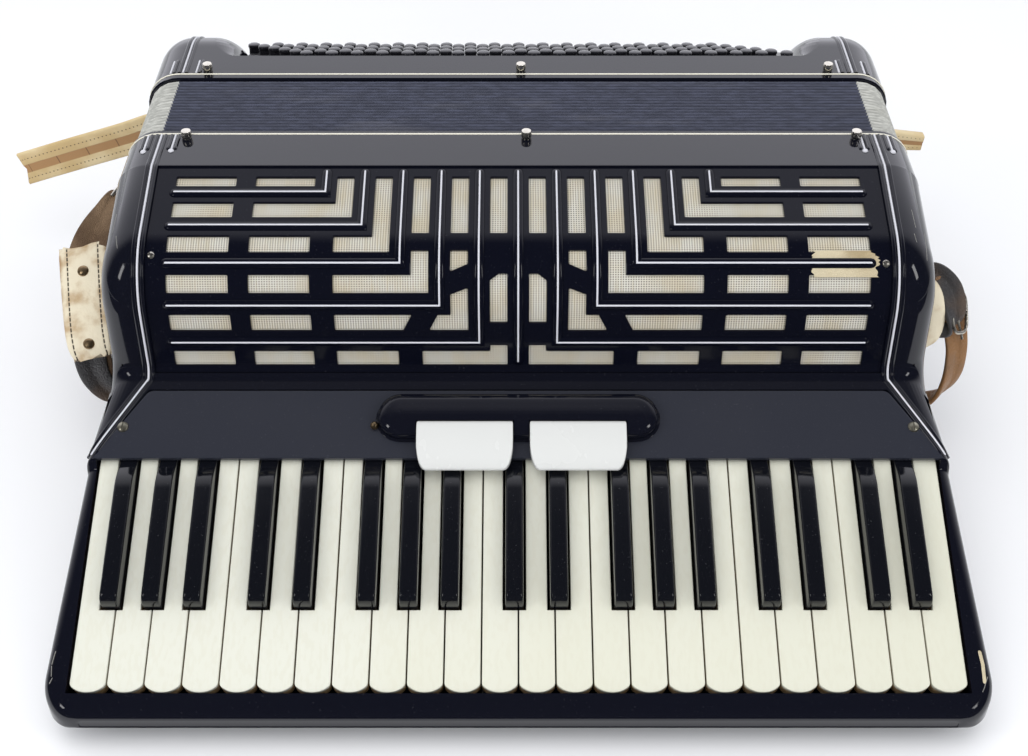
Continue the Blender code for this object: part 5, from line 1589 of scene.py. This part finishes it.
def build_left_strap():
    """Stations of each band are (X, Y, Z, width, thickness)."""
    suede = (
        (-0.2400, 0.078, 0.128, 0.006, 0.0022), (-0.2490, 0.067, 0.149, 0.008, 0.0024),
        (-0.2570, 0.054, 0.142, 0.016, 0.0026), (-0.2630, 0.042, 0.131, 0.025, 0.0028),
        (-0.2650, 0.030, 0.122, 0.029, 0.0028), (-0.2655, 0.020, 0.114, 0.026, 0.0028),
    )
    band("left_strap_suede", suede, FLAT_SECTION, SUEDE, "brown_leather", stands_for=("left_shoulder_strap",))
    sleeve = (
        (-0.2700, 0.0375, 0.1270, 0.029, 0.0050), (-0.2685, 0.0300, 0.1235, 0.030, 0.0062),
        (-0.2660, 0.0120, 0.1100, 0.029, 0.0068), (-0.2635, -0.0040, 0.0980, 0.028, 0.0066),
        (-0.2615, -0.0125, 0.0905, 0.027, 0.0060), (-0.2600, -0.0160, 0.0850, 0.024, 0.0040),
    )
    piece, rings = band("left_strap_sleeve", sleeve, round_section(0.55), SLEEVE, "cream_leather", ragged=0.0022)

    def centre(ring):
        return sum(ring, Vector()) / len(ring)

    face = (rings[10][7] - centre(rings[10])).normalized()
    face = face if face.z > 0 else -face
    places = [centre(rings[round((len(rings) - 1) * share)]) for share in (0.27, 0.80)]
    rivets = [dome(place + face * 0.0030, face, 0.0036, 0.0016, 24) for place in places]
    joined("left_strap_rivets", rivets, BRONZE, "treble", "steel", 60)
    loop = (
        (-0.2640, 0.0100, 0.1020, 0.020, 0.0026), (-0.2632, -0.0080, 0.0900, 0.020, 0.0026),
        (-0.2636, -0.0125, 0.0760, 0.019, 0.0026), (-0.2610, -0.0135, 0.0620, 0.017, 0.0026),
        (-0.2540, -0.0115, 0.0500, 0.014, 0.0026), (-0.2400, -0.0040, 0.0440, 0.010, 0.0026),
    )
    lean = (0.9, 0.3, 0.3)
    band("left_strap_loop", loop, FLAT_SECTION, DARK_LEATHER, "brown_leather", lean)
    inner = [(x + 0.006, y + 0.0035, z, width * 0.62, thick) for x, y, z, width, thick in loop[1:5]]
    band("left_strap_lining", inner, FLAT_SECTION, SUEDE, "brown_leather", lean)
    bracket = ((-0.2395, 0.070, 0.140), (-0.2440, 0.068, 0.149), (-0.2500, 0.066, 0.1525), (-0.2530, 0.062, 0.1495))
    wire("left_strap_bracket", bracket, 0.0013, NICKEL, closed=False)


def build_right_strap():
    route = (
        (0.2405, 0.0120, 0.100, 0.012, 0.0028), (0.2510, 0.0075, 0.116, 0.013, 0.0030),
        (0.2600, 0.0105, 0.119, 0.014, 0.0032), (0.2668, 0.0050, 0.109, 0.015, 0.0032),
        (0.2680, -0.0024, 0.098, 0.015, 0.0030), (0.2700, -0.0095, 0.084, 0.014, 0.0028),
        (0.2690, -0.0144, 0.068, 0.014, 0.0028), (0.2640, -0.0150, 0.054, 0.014, 0.0028),
        (0.2550, -0.0110, 0.044, 0.013, 0.0028), (0.2400, -0.0040, 0.038, 0.010, 0.0026),
    )
    band("right_strap_loop", route, FLAT_SECTION, RIM_LEATHER, "brown_leather", (0.75, 0.45, 0.5),
         stands_for=("right_shoulder_strap",))
    curl = (
        (0.2430, 0.0150, 0.120, 0.013, 0.0030), (0.2530, 0.0130, 0.126, 0.014, 0.0032),
        (0.2620, 0.0050, 0.121, 0.015, 0.0034), (0.2655, -0.0030, 0.110, 0.014, 0.0034),
        (0.2620, -0.0080, 0.101, 0.012, 0.0030), (0.2560, -0.0070, 0.098, 0.010, 0.0028),
    )
    band("right_strap_curl", curl, FLAT_SECTION, DARK_LEATHER, "brown_leather", (0.55, 0.55, 0.6))
    cream = (
        (0.2405, 0.0120, 0.124, 0.010, 0.0060), (0.2485, 0.0050, 0.122, 0.012, 0.0064),
        (0.2530, -0.0010, 0.114, 0.012, 0.0064), (0.2540, -0.0062, 0.105, 0.011, 0.0060),
        (0.2515, -0.0115, 0.098, 0.010, 0.0056), (0.2450, -0.0140, 0.094, 0.009, 0.0050),
    )
    piece, _ = band("right_strap_sleeve", cream, round_section(0.7), SLEEVE, "cream_leather", ragged=0.0010)
    middle = Vector((0.2690, -0.0020, 0.1075))
    down = Vector((0.05, -0.62, -0.78)).normalized()
    side = Vector((0.86, 0.36, -0.2)).normalized()

    def squared(value, power):
        return math.copysign(abs(value) ** power, value)

    ring = [middle + down * (0.0125 * squared(math.cos(a), 0.6)) + side * (0.0055 * squared(math.sin(a), 0.7))
            for a in [math.tau * i / 36 for i in range(36)]]
    wire("right_strap_buckle", ring, 0.0011, NICKEL)
    prong = [middle + down * (-0.0125 + 0.029 * i / 8) + side * 0.0012 * math.sin(i) for i in range(9)]
    wire("right_strap_prong", prong, 0.0008, NICKEL, closed=False)


def build_wear():
    """The torn place at the end of one strip, the small ball by the register bar, and worn marks."""
    rng = random.Random(11)
    columns = 14
    torn_edge = (0.1990, 0.2012, 0.2030, 0.2036, 0.2030, 0.2020, 0.2026, 0.2018, 0.2028)
    rings = []
    for i in range(17):
        v = 0.0612 + 0.0158 * i / 16
        left = 0.1650 + 0.0020 * abs(i - 8) / 8 + rng.uniform(-0.0012, 0.0012)
        right = torn_edge[i // 2] + rng.uniform(-0.0008, 0.0010)
        row = [mix(left, right, k / columns) for k in range(columns + 1)]
        rings.append([cover_place(x, v, 0.00022) for x in row] + [cover_place(x, v, -0.0004) for x in row[::-1]])
    joined("torn_cover_patch", [loft(rings)], TORN, "treble", "grille_cloth", 60)
    radius = 0.0024
    ball = [(radius * math.sin(a), -radius * math.cos(a)) for a in spread(0.02, math.pi - 0.02, 12)]
    ball = turned(key_point(-0.0818, -0.0195, PANEL_RISE + 0.0018), (0, 0, 1), ball, 20)
    joined("register_ball", [ball], BRONZE, "treble", "steel", 60)

    def cheek(x, s, lift):
        return key_point(x, s, CHEEK_RISE + lift)

    mark = half_round(0.00020, -0.0003, 0.00008, 4)
    on_casing = (((-0.2318, 0.066), (-0.2324, 0.079)), ((-0.2290, 0.084), (-0.2268, 0.094)),
                 ((0.2326, 0.080), (0.2314, 0.101)), ((0.2262, 0.066), (0.2268, 0.079)),
                 ((0.2250, 0.084), (0.2257, 0.090)))
    on_cheeks = (((-0.2466, 0.111), (-0.2476, 0.118)), ((-0.2476, 0.119), (-0.2470, 0.1245)),
                 ((-0.2463, 0.1255), (-0.2474, 0.1285)), ((0.2478, 0.1250), (0.2452, 0.1310)),
                 ((0.2440, 0.1330), (0.2452, 0.1310)))
    marks = [ridge(line, mark, skin_place, 0.001) for line in on_casing]
    marks += [ridge(line, mark, cheek, 0.001) for line in on_cheeks]
    joined("pale_scratches", marks, SCRATCH, "treble", "gloss_black", 60)
    patch = half_round(0.0011, -0.0003, 0.00010, 4)
    worn = ridge([(0.2455, 0.1115), (0.2462, 0.118), (0.2458, 0.1275)], patch, cheek, 0.001)
    joined("worn_patch", [worn], TORN, "treble", "gloss_black", 60)


# Build everything

build_casing()
build_bed()
build_panel()
blacks = blacks_by_white()
rng = random.Random(7)
for index in range(WHITE_KEYS):
    build_white(index, blacks, rng)
for number, middle in enumerate(blacks.values(), 1):
    build_black(number, middle)
build_cover()
build_strips()
build_cloth()
build_side_stripes()
build_fastenings()
build_register()
build_frames()
build_bellows()
build_bass_casing()
build_bass_stripes()
build_buttons()
build_air_button()
build_bass_strap()
build_left_strap()
build_right_strap()
build_wear()

for name, mat in (("key_axle", STEEL), ("treble_reed_block", WOOD)):
    nodes[name].data.materials.clear()
    nodes[name].data.materials.append(mat)


# Studio

FOCAL_PIXELS = 1500
PHOTO_WIDTH = 1028


def stage_sheet(name, half, front, back, height, finish, colours, scale, rough):
    """A level sheet of the studio: the table, or a card that only the polished faces see."""
    corners = [(-half, front, 0), (half, front, 0), (half, back, 0), (-half, back, 0)]
    sheet = mesh_piece(name, corners, [(0, 1, 2, 3)], [], smooth=False)
    f = Finish(finish, colours[0], rough)
    f.base(f.mix(f.ramp(f.noise(scale, 3.0), 0.3, 0.7), *colours))
    sheet.data.materials.append(f.mat)
    sheet.location.z = height
    return sheet, f


def build_world(scene):
    """White to the camera, pale light on the object, and reflections of a room dark in front and bright behind."""
    world = bpy.data.worlds.new("studio")
    scene.world = world
    world.use_nodes = True
    tree = world.node_tree
    tree.nodes.clear()

    def node(kind, *links):
        made = tree.nodes.new("ShaderNode" + kind)
        for socket, source in links:
            tree.links.new(source, made.inputs[socket])
        return made

    direction = node("SeparateXYZ", (0, node("TexCoord").outputs["Generated"]))
    scale = node("MapRange", ("Value", direction.outputs[1]))
    scale.inputs["From Min"].default_value = -1.0
    ramp = node("ValToRGB", (0, scale.outputs[0]))
    # Brightness over the reflected ray's Y, from the front of the room to its back
    shades = ((0.0, 0.05), (0.40, 0.03), (0.53, 0.05), (0.59, 0.30),
              (0.66, 0.75), (0.76, 1.05), (0.88, 1.45), (1.0, 1.5))
    ramp.color_ramp.elements[0].position, ramp.color_ramp.elements[1].position = shades[0][0], shades[-1][0]
    for position, _ in shades[1:-1]:
        ramp.color_ramp.elements.new(position)
    for element, (_, value) in zip(ramp.color_ramp.elements, shades):
        element.color = (value, value, value * 1.08, 1.0)
    studio = node("Background", (0, ramp.outputs[0]))
    plain, white = node("Background"), node("Background")
    plain.inputs[0].default_value = (0.96, 0.98, 1.0, 1.0)
    plain.inputs[1].default_value = 0.89
    white.inputs[0].default_value = (0.97, 0.975, 1.0, 1.0)
    rays = node("LightPath").outputs
    glossy = node("MixShader", (0, rays["Is Glossy Ray"]), (1, plain.outputs[0]), (2, studio.outputs[0]))
    camera = node("MixShader", (0, rays["Is Camera Ray"]), (1, glossy.outputs[0]), (2, white.outputs[0]))
    node("OutputWorld", (0, camera.outputs[0]))


def build_studio():
    scene = bpy.context.scene
    scene.view_settings.view_transform = "Standard"
    pale = ((0.93, 0.93, 0.95), (0.905, 0.905, 0.93))
    _, f = stage_sheet("floor", 4, -3, 3.5, -0.0005, "pale_table", pale, 3.0, 0.55)
    f.bump(f.noise(200.0, 2.0), 0.02, 0.001)
    # In front of the instrument, and seen only in its polished faces
    dark = ((0.018, 0.018, 0.022), (0.03, 0.03, 0.035))
    card, _ = stage_sheet("dark_card", 2.5, -3, -0.285, -0.0003, "dark_felt", dark, 5.0, 0.9)
    card.visible_camera = card.visible_diffuse = card.visible_shadow = card.visible_transmission = False
    build_world(scene)

    def lamp(name, place, target, size, power, colour=(1.0, 1.0, 1.0), in_gloss=True):
        light = bpy.data.lights.new(name, "AREA")
        light.shape, light.size, light.size_y = "RECTANGLE", size[0], size[1]
        light.energy, light.color = power, colour
        obj = bpy.data.objects.new(name, light)
        obj.location = place
        obj.rotation_euler = (Vector(target) - Vector(place)).to_track_quat("-Z", "Y").to_euler()
        obj.visible_glossy = in_gloss
        scene.collection.objects.link(obj)

    lamp("top_box", (-0.25, -0.55, 1.9), (0, 0, 0.1), (1.6, 1.2), 11.0, (1.0, 0.99, 0.97), False)
    lamp("front_fill", (0, -1.9, 0.75), (0, -0.35, 0), (2.0, 0.7), 8.4, in_gloss=False)
    for name, side in (("left_strip", -1), ("right_strip", 1)):
        lamp(name, (side * 1.0, -0.75, 1.0), (0, 0, 0.15), (0.22, 0.5), 1.9)

    camera_data = bpy.data.cameras.new("camera")
    camera_data.sensor_width = 36.0
    camera_data.lens = FOCAL_PIXELS / PHOTO_WIDTH * 36.0
    camera_obj = bpy.data.objects.new("camera", camera_data)
    camera_obj.location = (-0.0024, -0.722, 0.672)
    camera_obj.rotation_euler = (math.radians(49.4), 0, 0)
    scene.collection.objects.link(camera_obj)
    scene.camera = camera_obj


build_studio()
bpy.context.view_layer.update()
